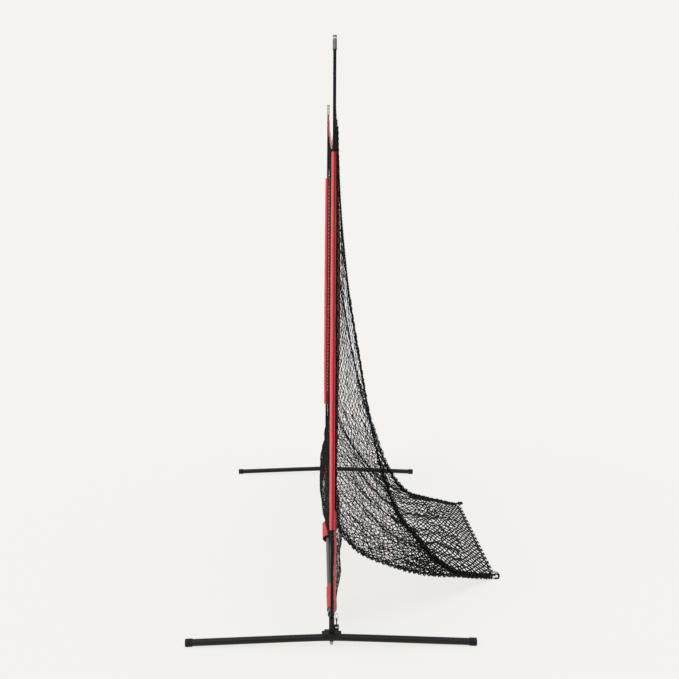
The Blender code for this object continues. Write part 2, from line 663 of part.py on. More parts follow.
def make_tip(side, root):
    """Grooved cap on the pole and the pale strap looped into its groove."""
    name = SIDE_NAMES[side]
    location, rotation = on_pole(side, POLE_HEIGHT)
    tip = new_empty(name + "_tip", root, location, rotation)
    groove_top = -TIP_DISC
    groove_low = groove_top - TIP_GROOVE
    bore_top = -TIP_CAP_LENGTH + TIP_BORE
    profile = [(0, 0), (TIP_CAP_R - TIP_CHAMFER, 0), (TIP_CAP_R, -TIP_CHAMFER), (TIP_CAP_R, groove_top),
               (TIP_GROOVE_R, groove_top), (TIP_GROOVE_R, groove_low), (TIP_CAP_R, groove_low),
               (TIP_CAP_R, TIP_LIP - TIP_CAP_LENGTH), (TIP_LIP_R, TIP_LIP - TIP_CAP_LENGTH),
               (TIP_LIP_R, -TIP_CAP_LENGTH), (POLE_BORE_R, -TIP_CAP_LENGTH), (POLE_BORE_R, bore_top), (0, bore_top)]
    finish(turned(name + "_tip_cap", profile, tip), ZINC_STEEL)
    strap = pipe(name + "_tip_strap", TIP_CAP_R - FIT, TIP_GROOVE_R + FIT, groove_low + FIT, groove_top - FIT, tip)
    face = TIP_LIP_R + FIT
    root_y = (TIP_GROOVE_R + TIP_CAP_R) / 2
    half = TIP_STRAP_WIDTH / 2
    tail_low = -TIP_CAP_LENGTH - TIP_TAIL
    tail = block(name + "_tip_tail", (-half, 0, tail_low), (half, STRAP_THICK, groove_top - 2 * FIT), tip, (0, 0, 0))
    tail.location = (0, min(-side * face, -side * (face + STRAP_THICK)), 0)
    combine(strap, tail, "UNION")
    fold_low = (-TIP_GROOVE_R, min(-side * root_y, -side * (face + STRAP_THICK)), groove_low + 2 * FIT)
    fold_high = (TIP_GROOVE_R, max(-side * root_y, -side * (face + STRAP_THICK)), groove_top - 3 * FIT)
    combine(strap, block(name + "_tip_fold", fold_low, fold_high, tip), "UNION")
    finish(strap, PALE_WEBBING)


def make_sleeve(side, root):
    """Cloth tube round the pole, with the sewn flange that the nets hang from on its back side."""
    name = SIDE_NAMES[side]
    points = pole_points(side, SLEEVE_LOW, SLEEVE_HIGH, 9)
    sleeve = as_mesh(rod(name + "_pole_sleeve", points, SLEEVE_R, root, resolution=4))
    def flange(across, up):
        height = SLEEVE_LOW + FLANGE_SHORT + (SLEEVE_HIGH - SLEEVE_LOW - 2 * FLANGE_SHORT) * up
        x = SLEEVE_R - SLEEVE_CLOTH + (FLANGE_REACH + SLEEVE_CLOTH) * across
        return (x, side * pole_y(height), height)
    seam = sheet(name + "_sleeve_flange", 1, 8, flange, FLANGE_THICK, root)
    combine(sleeve, seam, "UNION")
    reach = SLEEVE_R
    bore_points = pole_points(side, SLEEVE_LOW - reach, SLEEVE_HIGH + reach, 9)
    bore = as_mesh(rod(name + "_sleeve_bore", bore_points, SLEEVE_BORE_R, root, resolution=4))
    combine(sleeve, bore, "DIFFERENCE")
    finish(sleeve, RED_CANVAS)


def net_x(height):
    """How far the net in the frame hangs behind the pole plane, at its sewn edges."""
    stops = ((CORNER_LOW, CORNER_X), (SLEEVE_LOW, NET_PLANE), (SLEEVE_HIGH, NET_PLANE), (POLE_HEIGHT, 0.0))
    return ramp(height, stops)


def net_edge(height):
    """Half width of the net in the frame at one height."""
    beside_flange = FLANGE_THICK / 2 + 2 * SEAM
    beside_pole = POLE_R + 2 * NET_THICK
    row = (TOP_HEM_MIDDLE - CORNER_LOW) / NET_ROWS
    inset = ramp(height, ((SLEEVE_LOW + row, SIDE_HEM_REACH + HEM_THICK + SEAM), (SLEEVE_LOW + 2 * row, beside_flange),
                          (SLEEVE_HIGH, beside_flange), (SLEEVE_HIGH + 0.05, beside_pole)))
    return pole_y(height) - inset


TOP_HEM_END = pole_y(TOP_HEM_CORNER) - POLE_R - HEM_THICK - SEAM


def top_hem_z(y):
    return TOP_HEM_MIDDLE + (TOP_HEM_CORNER - TOP_HEM_MIDDLE) * (y / TOP_HEM_END) ** 2


def make_hems(root):
    def top(across, up):
        y = TOP_HEM_END * (2 * across - 1)
        height = top_hem_z(y) - TOP_HEM_WIDTH * (1 - up)
        return (net_x(height), y, height)
    finish(sheet("top_hem", 24, 1, top, HEM_THICK, root), RED_CANVAS)
    end = HUB_SPAN / 2 - SIDE_HEM_REACH - HEM_THICK - SEAM
    def bottom(across, up):
        height = CORNER_LOW + BOTTOM_HEM_WIDTH * up
        return (CORNER_X, end * (2 * across - 1), height)
    finish(sheet("bottom_hem", 12, 1, bottom, HEM_THICK, root), RED_CANVAS)
    for side in (NEAR, FAR):
        make_side_hem(side, root)
        make_corner_patch(side, root)


def make_side_hem(side, root):
    """Red edge of the net from the foot of the sleeve to the lower corner, turned half sideways."""
    def place(across, up):
        height = CORNER_LOW + (SLEEVE_LOW - SEAM - CORNER_LOW) * up
        x = POLE_R + HEM_THICK / 2 + SEAM + (CORNER_X - POLE_R) * across
        return (x, side * (pole_y(height) - SIDE_HEM_REACH * across), height)
    hem = sheet(SIDE_NAMES[side] + "_side_hem", 2, 8, place, HEM_THICK, root)
    finish(hem, RED_CANVAS)


def make_corner_patch(side, root):
    def place(across, up):
        height = TOP_HEM_CORNER - PATCH_SIZE * (1 - up)
        spread = PATCH_SIZE * (PATCH_TAPER + (1 - PATCH_TAPER) * up) * across
        x = net_x(height) - (HEM_THICK + PATCH_THICK) / 2 - SEAM
        y = min(TOP_HEM_END, pole_y(height) - POLE_R - PATCH_THICK) - spread
        return (x, side * y, height - PATCH_SLANT * spread * up)
    finish(sheet(SIDE_NAMES[side] + "_corner_patch", 4, 4, place, PATCH_THICK, root), RED_CANVAS)


def tab_outlines(ring_r, shift):
    """Strap wrapped round the bar and sewn to the lower hem, seen along the bar."""
    opening = math.asin(TAB_TAIL / 2 / ring_r)
    outer = []
    for step in range(TAB_STEPS + 1):
        angle = opening + (2 * math.pi - 2 * opening) * step / TAB_STEPS
        outer.append((shift + ring_r * math.sin(angle), ring_r * math.cos(angle)))
    top = CORNER_LOW - SEAM - BAR_Z
    outer.append((CORNER_X - TAB_TAIL / 2, top))
    outer.append((CORNER_X + TAB_TAIL / 2, top))
    inner_r = ring_r - TAB_CLOTH
    turns = [2 * math.pi * step / TAB_STEPS for step in range(TAB_STEPS)]
    inner = [(shift + inner_r * math.sin(angle), inner_r * math.cos(angle)) for angle in turns]
    return outer, inner


def make_tabs(root):
    snug = BAR_R + TAB_SLACK + TAB_CLOTH
    outer = HUB_SPAN / 2 - TAB_FROM_HUB
    for name, y in (("near", -outer), ("middle", MIDDLE_TAB), ("far", outer)):
        loose = name == "middle"
        ring_r = LOOSE_TAB_R + TAB_CLOTH if loose else snug
        shift = LOOSE_TAB_SHIFT if loose else 0.0
        outlines = tab_outlines(ring_r, shift)
        rotation = (math.pi / 2, 0, 0)
        tab = flat_outline(name + "_wrap_tab", outlines, TAB_LENGTH / 2, root, (0, y, BAR_Z), rotation)
        finish(tab, RED_CANVAS)


def make_hook(side, hub):
    """Plastic hook through the lug, and the pale strap that ties the net's corner to it."""
    name = SIDE_NAMES[side]
    bend = HOOK_HALF_WIDTH
    low = HOOK_BEND_Z
    points = [(bend, low + bend + HOOK_TIP)]
    for step in range(5):
        angle = -math.pi * step / 4
        points.append((bend * math.cos(angle), low + bend + bend * math.sin(angle)))
    eye_z = low + HOOK_EYE_RISE
    for step in range(1, 10):
        angle = math.pi + HOOK_NECK_TURN - (2 * math.pi - HOOK_EYE_OPENING) * step / 9
        points.append((HOOK_EYE_R * math.cos(angle), eye_z + HOOK_EYE_R * math.sin(angle)))
    route = [(LUG_X, -side * y, z) for y, z in points]
    finish(rod(name + "_corner_hook", route, HOOK_WIRE_R, hub, resolution=2), MOULDED_BLACK)
    half = STRAP_LOOP_WIDTH / 2
    drop = math.sqrt((HOOK_EYE_R - HOOK_WIRE_R) ** 2 - (STRAP_WIDTH / 2) ** 2)
    strap_low = eye_z + drop - 2 * FIT - STRAP_THICK
    strap_high = CORNER_LOW - SEAM
    outer = stadium(half, strap_high - strap_low)
    inner = stadium(half - STRAP_THICK, strap_high - strap_low - 2 * STRAP_THICK)
    middle = (LUG_X, 0, (strap_low + strap_high) / 2)
    strap = flat_outline(name + "_corner_strap", (outer, inner), STRAP_WIDTH / 2, hub, middle, (math.pi / 2, 0, 0))
    finish(strap, PALE_WEBBING)


def stadium(half_width, height):
    """Upright outline with round ends, centred on its own origin."""
    rise = height / 2 - half_width
    points = []
    for centre, first in ((rise, 0.0), (-rise, math.pi)):
        for step in range(7):
            angle = first + math.pi * step / 6
            points.append((half_width * math.cos(angle), centre + half_width * math.sin(angle)))
    return points


def belly(across, height):
    """Bow of the hanging net: towards the bare side low in the middle, and back beside the poles."""
    if height < BELLY_HEIGHT:
        share = (height - CORNER_LOW) / (BELLY_HEIGHT - CORNER_LOW)
    else:
        share = max(0.0, (BELLY_TOP - height) / (BELLY_TOP - BELLY_HEIGHT))
    wave = share ** 2 * (3 - 2 * share)
    middle = math.sin(math.pi * across) ** 2
    beside = min(across, 1 - across) / SWELL_PEAK
    edge = beside * math.exp(1 - beside)
    return wave * (EDGE_SWELL * edge - BELLY * middle)


def make_frame_net(root):
    def place(across, up):
        y_share = 2 * across - 1
        low = CORNER_LOW + BOTTOM_HEM_WIDTH + 3 * SEAM
        y = y_share * net_edge(low)
        for _ in range(3):
            high = top_hem_z(min(abs(y), TOP_HEM_END)) - TOP_HEM_WIDTH - TOP_SEAM
            height = low + (high - low) * up
            y = y_share * net_edge(height)
        return (net_x(height) + belly(across, height), y, height)
    flat_size = (HUB_SPAN, TOP_HEM_MIDDLE - CORNER_LOW)
    net = sheet("frame_net", NET_COLUMNS, NET_ROWS, place, NET_THICK, root, NET_CORD, flat_size)
    finish(net, BLACK_TWINE, smooth=False)


def stretched(route, start_x, top_z):
    """A route in side view, fitted between the net in the frame and the back corner on the floor."""
    first = route[0][0]
    end_x = TRAIL_REACH - CORNER_SET
    shares = [(x - first) / (route[-1][0] - first) for x, _ in route]
    rise = top_z / route[0][1]
    return [(share, start_x + (end_x - start_x) * share, max(z * rise, ROPE_R + FIT))
            for share, (_, z) in zip(shares, route)]


def off_floor(points, room):
    return [Vector((point.x, point.y, max(point.z, room))) for point in points]


def border_route(side):
    """Centre line of the rope from the pole down to the back corner."""
    start_x = NET_PLANE + NET_THICK / 2 + 2 * SEAM + ROPE_R
    start_y = pole_y(TRAIL_TOP) - POLE_R - 2 * NET_THICK
    points = []
    for share, x, z in stretched(BORDER_ROUTES[side], start_x, TRAIL_TOP):
        points.append((x, side * (start_y + (TRAIL_HALF_WIDTH - start_y) * share), z))
    return off_floor(smooth_route(points, BORDER_STATIONS), ROPE_R + FIT)


def lower_route(side):
    """Centre line of the rope along the lower edge, from the sleeve to the back corner."""
    start_x = CORNER_X + HEM_THICK + 3 * SEAM + ROPE_R
    start_y = pole_y(SLEEVE_LOW) - LOWER_TUCK
    end_y = TRAIL_HALF_WIDTH + CORNER_SPREAD
    points = []
    for share, x, z in stretched(LOWER_ROUTES[side], start_x, SLEEVE_LOW - ROPE_R - FIT):
        points.append((x, side * (start_y + (end_y - start_y) * share), z))
    return off_floor(smooth_route(points, LOWER_STATIONS, LOWER_PACE[side]), ROPE_R + FIT)


def clear(edge, share, across, room):
    """Length along the cloth that keeps it clear of the rope or seam on one of its edges."""
    step = 0.01
    run = (edge(share + step) - edge(share - step)).normalized()
    return room / max(0.3, run.cross(across.normalized()).length)


def make_border_rope(side, root):
    """One rope down the border, round an eye at the back corner and back up the lower edge."""
    down = border_route(side)
    back = lower_route(side)
    centre = Vector((TRAIL_REACH + EYE_R, side * (TRAIL_HALF_WIDTH + CORNER_SPREAD / 2), ROPE_R + FIT))
    eye = []
    for step in range(EYE_STATIONS):
        angle = math.radians(EYE_OPENING * (1 - 2 * step / (EYE_STATIONS - 1)))
        eye.append(centre + EYE_R * Vector((math.cos(angle), -side * math.sin(angle), 0)))
    points = [*down[:-1], *eye, *reversed(back[:-1])]
    finish(rod(SIDE_NAMES[side] + "_border_rope", points, ROPE_R, root, resolution=2), BLACK_TWINE)


def make_back_rope(root):
    end = TRAIL_HALF_WIDTH - 1.35 * ROPE_R - 4 * SEAM
    points = [(TRAIL_REACH - ROPE_R, end * (i / 6 - 1), ROPE_R + FIT) for i in range(13)]
    finish(rod("back_edge_rope", points, ROPE_R, root, resolution=2), BLACK_TWINE)


def at_distance(route, x):
    """The point of a route at one distance from the pole plane."""
    first, second = next(((a, b) for a, b in zip(route, route[1:]) if x <= b.x), (route[-2], route[-1]))
    return first.lerp(second, (x - first.x) / (second.x - first.x))


def return_edge(side):
    """Edge of the ball return: along the lower rope, and along the border rope where the two run side by side."""
    lower = lower_route(side)
    border = border_route(side)
    def edge(share):
        point = along(lower, share)
        beside = at_distance(border, point.x)
        crossed = ramp(beside.z - point.z, ((CROSS_DONE, 1.0), (CROSS_START, 0.0)))
        return Vector((point.x, point.y + (beside.y - point.y) * crossed, point.z))
    return edge


def frame_net_face(y, height):
    """How far from the pole plane the ball return meets the net in the frame."""
    across = (max(-1.0, min(1.0, y / net_edge(height))) + 1) / 2
    return net_x(height) + belly(across, height) + NET_THICK + RETURN_GAP


def make_ball_return(root):
    """The net from the lower part of the frame's net down to the floor, between the two lower ropes."""
    near_edge = return_edge(NEAR)
    far_edge = return_edge(FAR)
    last = TRAIL_REACH - CORNER_SET
    def middle(across, down):
        share = RETURN_START + (1 - RETURN_START) * down
        first = near_edge(share)
        span = far_edge(share) - first
        low = clear(near_edge, share, span, ROPE_R + ROPE_SEAM) / span.length
        high = 1 - clear(far_edge, share, span, ROPE_R + ROPE_SEAM) / span.length
        point = first + span * (low + (high - low) * across)
        drawn = max(0.0, 1 - down / RETURN_DRAW) ** 2 * ramp(min(across, 1 - across), ((0.0, 0.0), (0.05, 1.0)))
        x = point.x + (frame_net_face(point.y, point.z) - point.x) * drawn
        return Vector((min(x, last), point.y, max(point.z, NET_THICK / 2 + FIT)))
    def place(across, down):
        step = 0.01
        lower = middle(across, min(1.0, down + step))
        upper = middle(across, max(0.0, down - step))
        slope = (lower - upper).normalized()
        normal = Vector((-slope.z, 0, slope.x))
        fade = math.sin(math.pi * down) ** 2 * math.sin(math.pi * across)
        return middle(across, down) + normal * FOLD_DEPTH * fade * math.sin(2 * math.pi * FOLDS * across)
    net = sheet("ball_return_net", RETURN_COLUMNS, RETURN_ROWS, place, NET_THICK, root)
    finish(net, BLACK_TWINE)


def make_side_panel(side, root):
    """Triangular wing beside the net, from the pole sleeve and the lower rope out to the border rope."""
    border = border_route(side)
    lower = lower_route(side)
    start, end = PANEL_SPAN
    def front(share):
        if share < HEM_SPLIT:
            height = TRAIL_TOP + (SLEEVE_LOW - TRAIL_TOP) * share / HEM_SPLIT
            return Vector((SLEEVE_R + FLANGE_REACH, side * pole_y(height), height))
        return along(lower, (share - HEM_SPLIT) / (1 - HEM_SPLIT))
    def back(share):
        return along(border, share)
    def place(across, down):
        share = start + (end - start) * down
        inner = front(share)
        outer = back(share)
        span = outer - inner
        beside_rope = ROPE_R + ROPE_SEAM + NET_THICK / 3
        on_rope = share > HEM_SPLIT - 0.05
        low = clear(front, share, span, beside_rope if on_rope else SEAM + NET_THICK / 2) / span.length
        high = 1 - clear(back, share, span, beside_rope) / span.length
        return inner.lerp(outer, low + (high - low) * across)
    name = SIDE_NAMES[side] + "_side_wing"
    finish(sheet(name, PANEL_COLUMNS, PANEL_ROWS, place, NET_THICK, root), BLACK_TWINE)


def main():
    root = new_empty("footprint_centre", None, (FRAME_X, 0, 0))
    make_base_bar(root)
    for side in (NEAR, FAR):
        hub = new_empty(SIDE_NAMES[side] + "_hub", root, (0, side * HUB_SPAN / 2, 0))
        make_foot(side, hub)
        make_pivot(side, hub)
        make_hub_bracket(side, hub)
        make_hook(side, hub)
        make_pole(side, root)
        make_tip(side, root)
        make_sleeve(side, root)
        make_border_rope(side, root)
        make_side_panel(side, root)
    make_hems(root)
    make_tabs(root)
    make_frame_net(root)
    make_ball_return(root)
    make_back_rope(root)
    bpy.context.view_layer.update()


main()
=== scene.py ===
import math

import bpy
import numpy as np
from mathutils import Matrix, Vector


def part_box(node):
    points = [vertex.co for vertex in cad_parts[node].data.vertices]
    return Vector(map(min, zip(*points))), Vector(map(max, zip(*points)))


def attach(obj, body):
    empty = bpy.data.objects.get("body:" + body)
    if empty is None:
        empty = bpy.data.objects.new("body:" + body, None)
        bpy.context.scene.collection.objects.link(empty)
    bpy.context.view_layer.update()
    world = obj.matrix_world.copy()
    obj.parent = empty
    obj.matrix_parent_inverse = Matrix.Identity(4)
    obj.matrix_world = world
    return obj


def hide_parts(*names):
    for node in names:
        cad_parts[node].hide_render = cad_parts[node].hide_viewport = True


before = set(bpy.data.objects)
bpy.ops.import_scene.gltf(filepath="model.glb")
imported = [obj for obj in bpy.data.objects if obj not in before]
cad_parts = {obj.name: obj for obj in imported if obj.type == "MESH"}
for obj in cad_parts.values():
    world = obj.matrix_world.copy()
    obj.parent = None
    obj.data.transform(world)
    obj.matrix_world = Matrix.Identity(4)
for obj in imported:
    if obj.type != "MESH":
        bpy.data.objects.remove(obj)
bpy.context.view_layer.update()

# Sizes of the golf net in metres, as in the CAD source. X is measured from the plane of the two poles.
POLE_HEIGHT = 2.134
HUB_SPAN = 2.18
TIP_LEAN = 0.15
SOCKET_TOP = 0.107
POLE_R = 0.0055
BAR_Z = 0.067
LUG_X = 0.0175
SLEEVE_LOW = 0.430
SLEEVE_HIGH = 1.740
FLANGE_END = 0.0232
CREASE_X = 0.0018  # where the long crease of the sleeves lies, from the pole plane
TOP_HEM_WIDTH = 0.036
TOP_HEM_MIDDLE = 1.866
TOP_HEM_CORNER = 2.078
CORNER_LOW = 0.122
CORNER_X = 0.016
BOTTOM_HEM_WIDTH = 0.030
SIDE_HEM_REACH = 0.018
PATCH_SIZE = 0.120
TAB_LENGTH = 0.20
TAB_FROM_HUB = 0.25
MIDDLE_TAB = -0.09
TIP_CAP_LENGTH = 0.048
TIP_GROOVE_Z = -0.00925  # middle of the cap's groove, below the pole's tip
NET_PLANE = 0.012
BELLY = 0.055
BELLY_TOP = 0.80
BELLY_HEIGHT = 0.24
EDGE_SWELL = 0.022
TRAIL_TOP = 1.850  # where the border ropes leave the poles
TRAIL_REACH = 0.700  # from the plane of the poles back to the ball return's edge on the floor
TRAIL_HALF_WIDTH = 0.485
ROPE_R = 0.004
ROPE_REST = 0.0043  # height of a rope's middle on the floor
ROPE_END_X = 0.668  # where the ropes turn into the loop at the back corner
FLOOR_GAP = 0.0002  # between the floor and what lies on it
CORNER_SET = 0.0083  # from the back edge in to where the ropes end
CORNER_SPREAD = 0.0104  # between the two ropes at the corner
BORDER_START = (0.0185, 0.0115)  # where a border's rope starts, behind the poles' plane and inside the pole
LOWER_START = (0.0245, 0.0146)  # the same for the rope of a wing's lower edge
EYE_R = 0.013  # of the loop at the back corner, to the rope's middle
EYE_OPENING = 130  # degrees that the rope goes round it, to each side
HEM_SPLIT = 0.70  # share of a wing's height that is laced to the sleeve, above the free lower edge
SLEEVE_LACED = 0.64  # share of it after which the front edge leaves the sleeve for the lower rope
WING_OPENS = (0.42, 0.72)  # shares of it between which the meshes open out
CROSSING = (0.015, 0.065)  # rise of a border over the lower rope while the ball return passes between them
EDGE_SHARE = 0.05  # share of a net's width, from each side, that is shaped as its edge
HEM_THICK = 0.003
HEM_THREAD = 0.00135  # from the middle of a hem out to the thread on its face
STRAP_THICK = 0.0014
SHARP_ANGLE = 50  # degrees between faces from which an edge is shaded sharp
UP = (0.0, 0.0, 1.0)
NEAR = -1
FAR = 1
SIDE_NAMES = {NEAR: "near", FAR: "far"}
# Borders of the wings in side view, from the pole to the back corner (x, z)
BORDER_TOP = ((0.018, 1.850), (0.028, 1.577), (0.044, 1.368), (0.065, 1.190), (0.097, 1.006), (0.140, 0.775))
BORDER_ROUTES = {
    NEAR: (*BORDER_TOP, (0.194, 0.556), (0.258, 0.384), (0.331, 0.280), (0.407, 0.178), (0.520, 0.075),
           (0.690, 0.0045)),
    FAR: (*BORDER_TOP, (0.194, 0.545), (0.262, 0.340), (0.322, 0.175), (0.385, 0.072), (0.455, 0.015),
          (0.520, 0.0045), (0.690, 0.0045)),
}
# Lower edges of the wings in side view, from the foot of the sleeve to the back corner (x, z)
LOWER_TOP = ((0.0245, 0.425), (0.047, 0.385))
LOWER_ROUTES = {
    NEAR: (*LOWER_TOP, (0.115, 0.303), (0.259, 0.200), (0.376, 0.134), (0.486, 0.088), (0.690, 0.0065)),
    FAR: (*LOWER_TOP, (0.110, 0.270), (0.200, 0.150), (0.290, 0.060), (0.370, 0.018), (0.450, 0.0065),
          (0.690, 0.0065)),
}
LOWER_PACE = {NEAR: 0.2, FAR: 0.6}  # how much wider their stations are spaced towards the sleeve

# Netting: a knotless diamond mesh of flat braided twine, drawn 2 to 6 mm wide so that it shows from afar
STRAND_LIFT = 0.0012  # how far a strand stands off the cloth's middle where it crosses another
STRAND_REST = 0.0021  # lowest that the middle of a strand lies over the floor
TWINE_FLATNESS = 1.18  # width of the twine over its thickness
FRAME_MESH = (0.028, 0.028)  # diagonals of one cell of the net in the frame, across and down
RETURN_MESH = (0.050, 0.022)
WING_MESH = (0.023, 0.040)
NET_REACH = 1.16  # more than half the width of the widest net
NET_REST = 0.0028  # lowest that the middle of a net lies over the floor
RETURN_DRAW = 0.20  # share of the ball return, from its top, that is drawn to the net in the frame

POLE_X = (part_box("near_pole_lower")[0].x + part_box("near_pole_lower")[1].x) / 2

# ---------------------------------------------------------------- camera

FOCAL_PIXELS = 893.18  # of an image 679 pixels wide
IMAGE_WIDTH = 679
SENSOR = 36.0
CAMERA_YAW = math.radians(1.437)
CAMERA_PITCH = math.radians(7.637)
CAMERA_ROLL = math.radians(0.445)
CAMERA_PLACE = (POLE_X - 0.05564, -4.10656, 1.50882)


def placed(name, data):
    """A new object in the scene."""
    item = bpy.data.objects.new(name, data)
    bpy.context.scene.collection.objects.link(item)
    return item


def make_camera():
    """Stands level with the middle of the poles and looks along the base bar."""
    level = Vector((math.cos(CAMERA_YAW), -math.sin(CAMERA_YAW), 0))
    forward = Vector((math.sin(CAMERA_YAW), math.cos(CAMERA_YAW), 0))
    ahead = forward * math.cos(CAMERA_PITCH) - Vector(UP) * math.sin(CAMERA_PITCH)
    upright = level.cross(ahead)
    right = level * math.cos(CAMERA_ROLL) + upright * math.sin(CAMERA_ROLL)
    top = upright * math.cos(CAMERA_ROLL) - level * math.sin(CAMERA_ROLL)
    turn = Matrix((right, top, -ahead)).transposed().to_4x4()
    data = bpy.data.cameras.new("photo_camera")
    data.sensor_width = SENSOR
    data.sensor_fit = "HORIZONTAL"
    data.lens = FOCAL_PIXELS / IMAGE_WIDTH * SENSOR
    data.clip_end = 200
    camera = placed("photo_camera", data)
    camera.matrix_world = Matrix.Translation(CAMERA_PLACE) @ turn
    bpy.context.scene.camera = camera


# ---------------------------------------------------------------- finishes


def colour(code):
    """An sRGB hex value as linear light."""
    shares = [int(code[i:i + 2], 16) / 255 for i in (0, 2, 4)]
    return (*[c / 12.92 if c <= 0.04045 else ((c + 0.055) / 1.055) ** 2.4 for c in shares], 1.0)


def add_node(tree, kind, settings=None, feeds=None):
    """Adds a shader node, sets its own settings, and links or sets each socket in feeds."""
    node = tree.nodes.new("ShaderNode" + kind)
    for name, value in (settings or {}).items():
        setattr(node, name, value)
    for socket, source in (feeds or {}).items():
        if isinstance(source, bpy.types.NodeSocket):
            tree.links.new(source, node.inputs[socket])
        else:
            node.inputs[socket].default_value = source
    return node


def blended(tree, share, first, second):
    """One colour turning into another where share goes from 0 to 1."""
    feeds = {0: share, 6: colour(first) if isinstance(first, str) else first, 7: colour(second)}
    return add_node(tree, "Mix", {"data_type": "RGBA"}, feeds).outputs[2]


def spread(tree, value, low, high, start=0.0, end=1.0):
    """A value stretched from the span low to high on to start to end, and held there beyond it."""
    feeds = {"Value": value, "From Min": low, "From Max": high, "To Min": start, "To Max": end}
    return add_node(tree, "MapRange", {"clamp": True}, feeds).outputs[0]


def cloudy(tree, place, size_mm, detail=2.0):
    """Noise whose patches are about size_mm wide."""
    feeds = {"Vector": place, "Scale": 1000 / size_mm, "Detail": detail}
    return add_node(tree, "TexNoise", feeds=feeds).outputs[0]


def ribbed(tree, place, size_mm, direction):
    """Ribs that repeat every size_mm."""
    feeds = {"Vector": place, "Scale": math.pi * 100 / size_mm}
    return add_node(tree, "TexWave", {"bands_direction": direction}, feeds).outputs[1]


def combined(tree, operation, first, second):
    return add_node(tree, "Math", {"operation": operation}, {0: first, 1: second}).outputs[0]


NOISE_SPAN = (0.3, 0.7)  # nearly all of a noise lies between these


def roughened(tree, pattern, low, high):
    """Roughness from low to high over the span of a noise."""
    return spread(tree, pattern, *NOISE_SPAN, low, high)


def own_place(tree):
    return add_node(tree, "TexCoord").outputs["Object"]


def cloth_place(tree):
    return add_node(tree, "UVMap", {"uv_map": "cloth"}).outputs[0]


def cleared_tree(owner):
    owner.use_nodes = True
    owner.node_tree.nodes.clear()
    return owner.node_tree


def finished(build, find_place=own_place):
    """A material named for build, which returns colour, roughness, height, its depth and the fixed sockets."""
    material = bpy.data.materials.new(build.__name__)
    tree = cleared_tree(material)
    base, roughness, height, depth, fixed = build(tree, find_place(tree))
    bump = add_node(tree, "Bump", feeds={"Height": height, "Distance": depth})
    feeds = {"Base Color": base, "Roughness": roughness, "Normal": bump.outputs[0], **fixed}
    shader = add_node(tree, "BsdfPrincipled", feeds=feeds)
    add_node(tree, "OutputMaterial", feeds={"Surface": shader.outputs[0]})
    return material


def powder_coated_steel(tree, place):
    """Powder coat cured on steel tube: satin black with a faint orange peel, and near the floor dusty with painted
    bounce light.
    """
    peel = cloudy(tree, place, 2.5, 1.0)  # real orange peel is about 1 mm, drawn coarser to show
    smudge = cloudy(tree, place, 60, 3.0)
    height = add_node(tree, "SeparateXYZ", feeds={0: place}).outputs[2]
    # paler brown-grey in the last 30 mm above the floor: partly dusty, partly painted light bounced up from the floor
    dust_and_floor_bounce = combined(tree, "MULTIPLY", spread(tree, height, 0.030, 0.004), smudge)
    base = blended(tree, dust_and_floor_bounce, blended(tree, smudge, "09090A", "141415"), "2C2A27")
    return base, roughened(tree, smudge, 0.30, 0.42), peel, 0.00012, {"IOR": 1.5, "Specular IOR Level": 0.22}


def glossy_powder_coated_steel(tree, place):
    """Smoother powder coat on the base bar: blue-grey black that takes a clear highlight along its side."""
    peel = cloudy(tree, place, 3.0, 1.0)  # real orange peel is about 1 mm, drawn coarser to show
    smudge = cloudy(tree, place, 80, 3.0)
    base = blended(tree, smudge, "1C1D20", "303237")
    return base, roughened(tree, smudge, 0.24, 0.36), peel, 0.00008, {"IOR": 1.5}


def moulded_polypropylene(tree, place):
    """Polypropylene from a spark-eroded mould: matte black with a fine grain and paler rubbed patches."""
    grain = cloudy(tree, place, 1.4, 2.0)  # real grain is about 0.3 mm, drawn coarser to show
    rubbed = cloudy(tree, place, 22, 4.0)
    base = blended(tree, spread(tree, rubbed, 0.45, 0.75), "0A0A0A", "1C1C1B")
    return base, roughened(tree, rubbed, 0.66, 0.52), grain, 0.00018, {"IOR": 1.49, "Specular IOR Level": 0.25}


def pultruded_fibreglass(tree, place):
    """Glass fibre drawn through a die in black resin: glossy, with long faint streaks along the pole."""
    drawn = add_node(tree, "Mapping", feeds={0: place, "Scale": (1, 1, 0.02)}).outputs[0]
    streaks = cloudy(tree, drawn, 1.5, 3.0)
    base = blended(tree, spread(tree, streaks, 0.35, 0.7), "050506", "111113")
    return base, roughened(tree, streaks, 0.26, 0.40), streaks, 0.00008, {"IOR": 1.52, "Specular IOR Level": 0.12}


def zinc_plated_steel(tree, place):
    """Bright zinc on steel: cool grey, cloudy, with small dull spots."""
    spangle = add_node(tree, "TexVoronoi", feeds={"Vector": place, "Scale": 1000 / 5}).outputs[0]
    cloud = cloudy(tree, place, 6, 4.0)
    base = blended(tree, cloud, "B4B8BA", "8A8F91")
    return base, roughened(tree, cloud, 0.28, 0.46), spangle, 0.00006, {"Metallic": 1.0}


def turned_steel(tree, place):
    """Steel turned on a lathe: grey, with fine rings round the cap that catch the light in bands."""
    rings = ribbed(tree, place, 2.4, "Z")  # real feed marks are about 0.2 mm, drawn coarser to show
    base = blended(tree, cloudy(tree, place, 9, 3.0), "868886", "4C504E")
    return base, spread(tree, rings, 0.0, 1.0, 0.30, 0.48), rings, 0.00010, {"Metallic": 1.0}


def woven(tree, place, thread_mm):
    """Height of a plain weave whose threads lie thread_mm apart."""
    warp, weft = (ribbed(tree, place, 2 * thread_mm, direction) for direction in "XY")
    return combined(tree, "MULTIPLY", warp, weft)


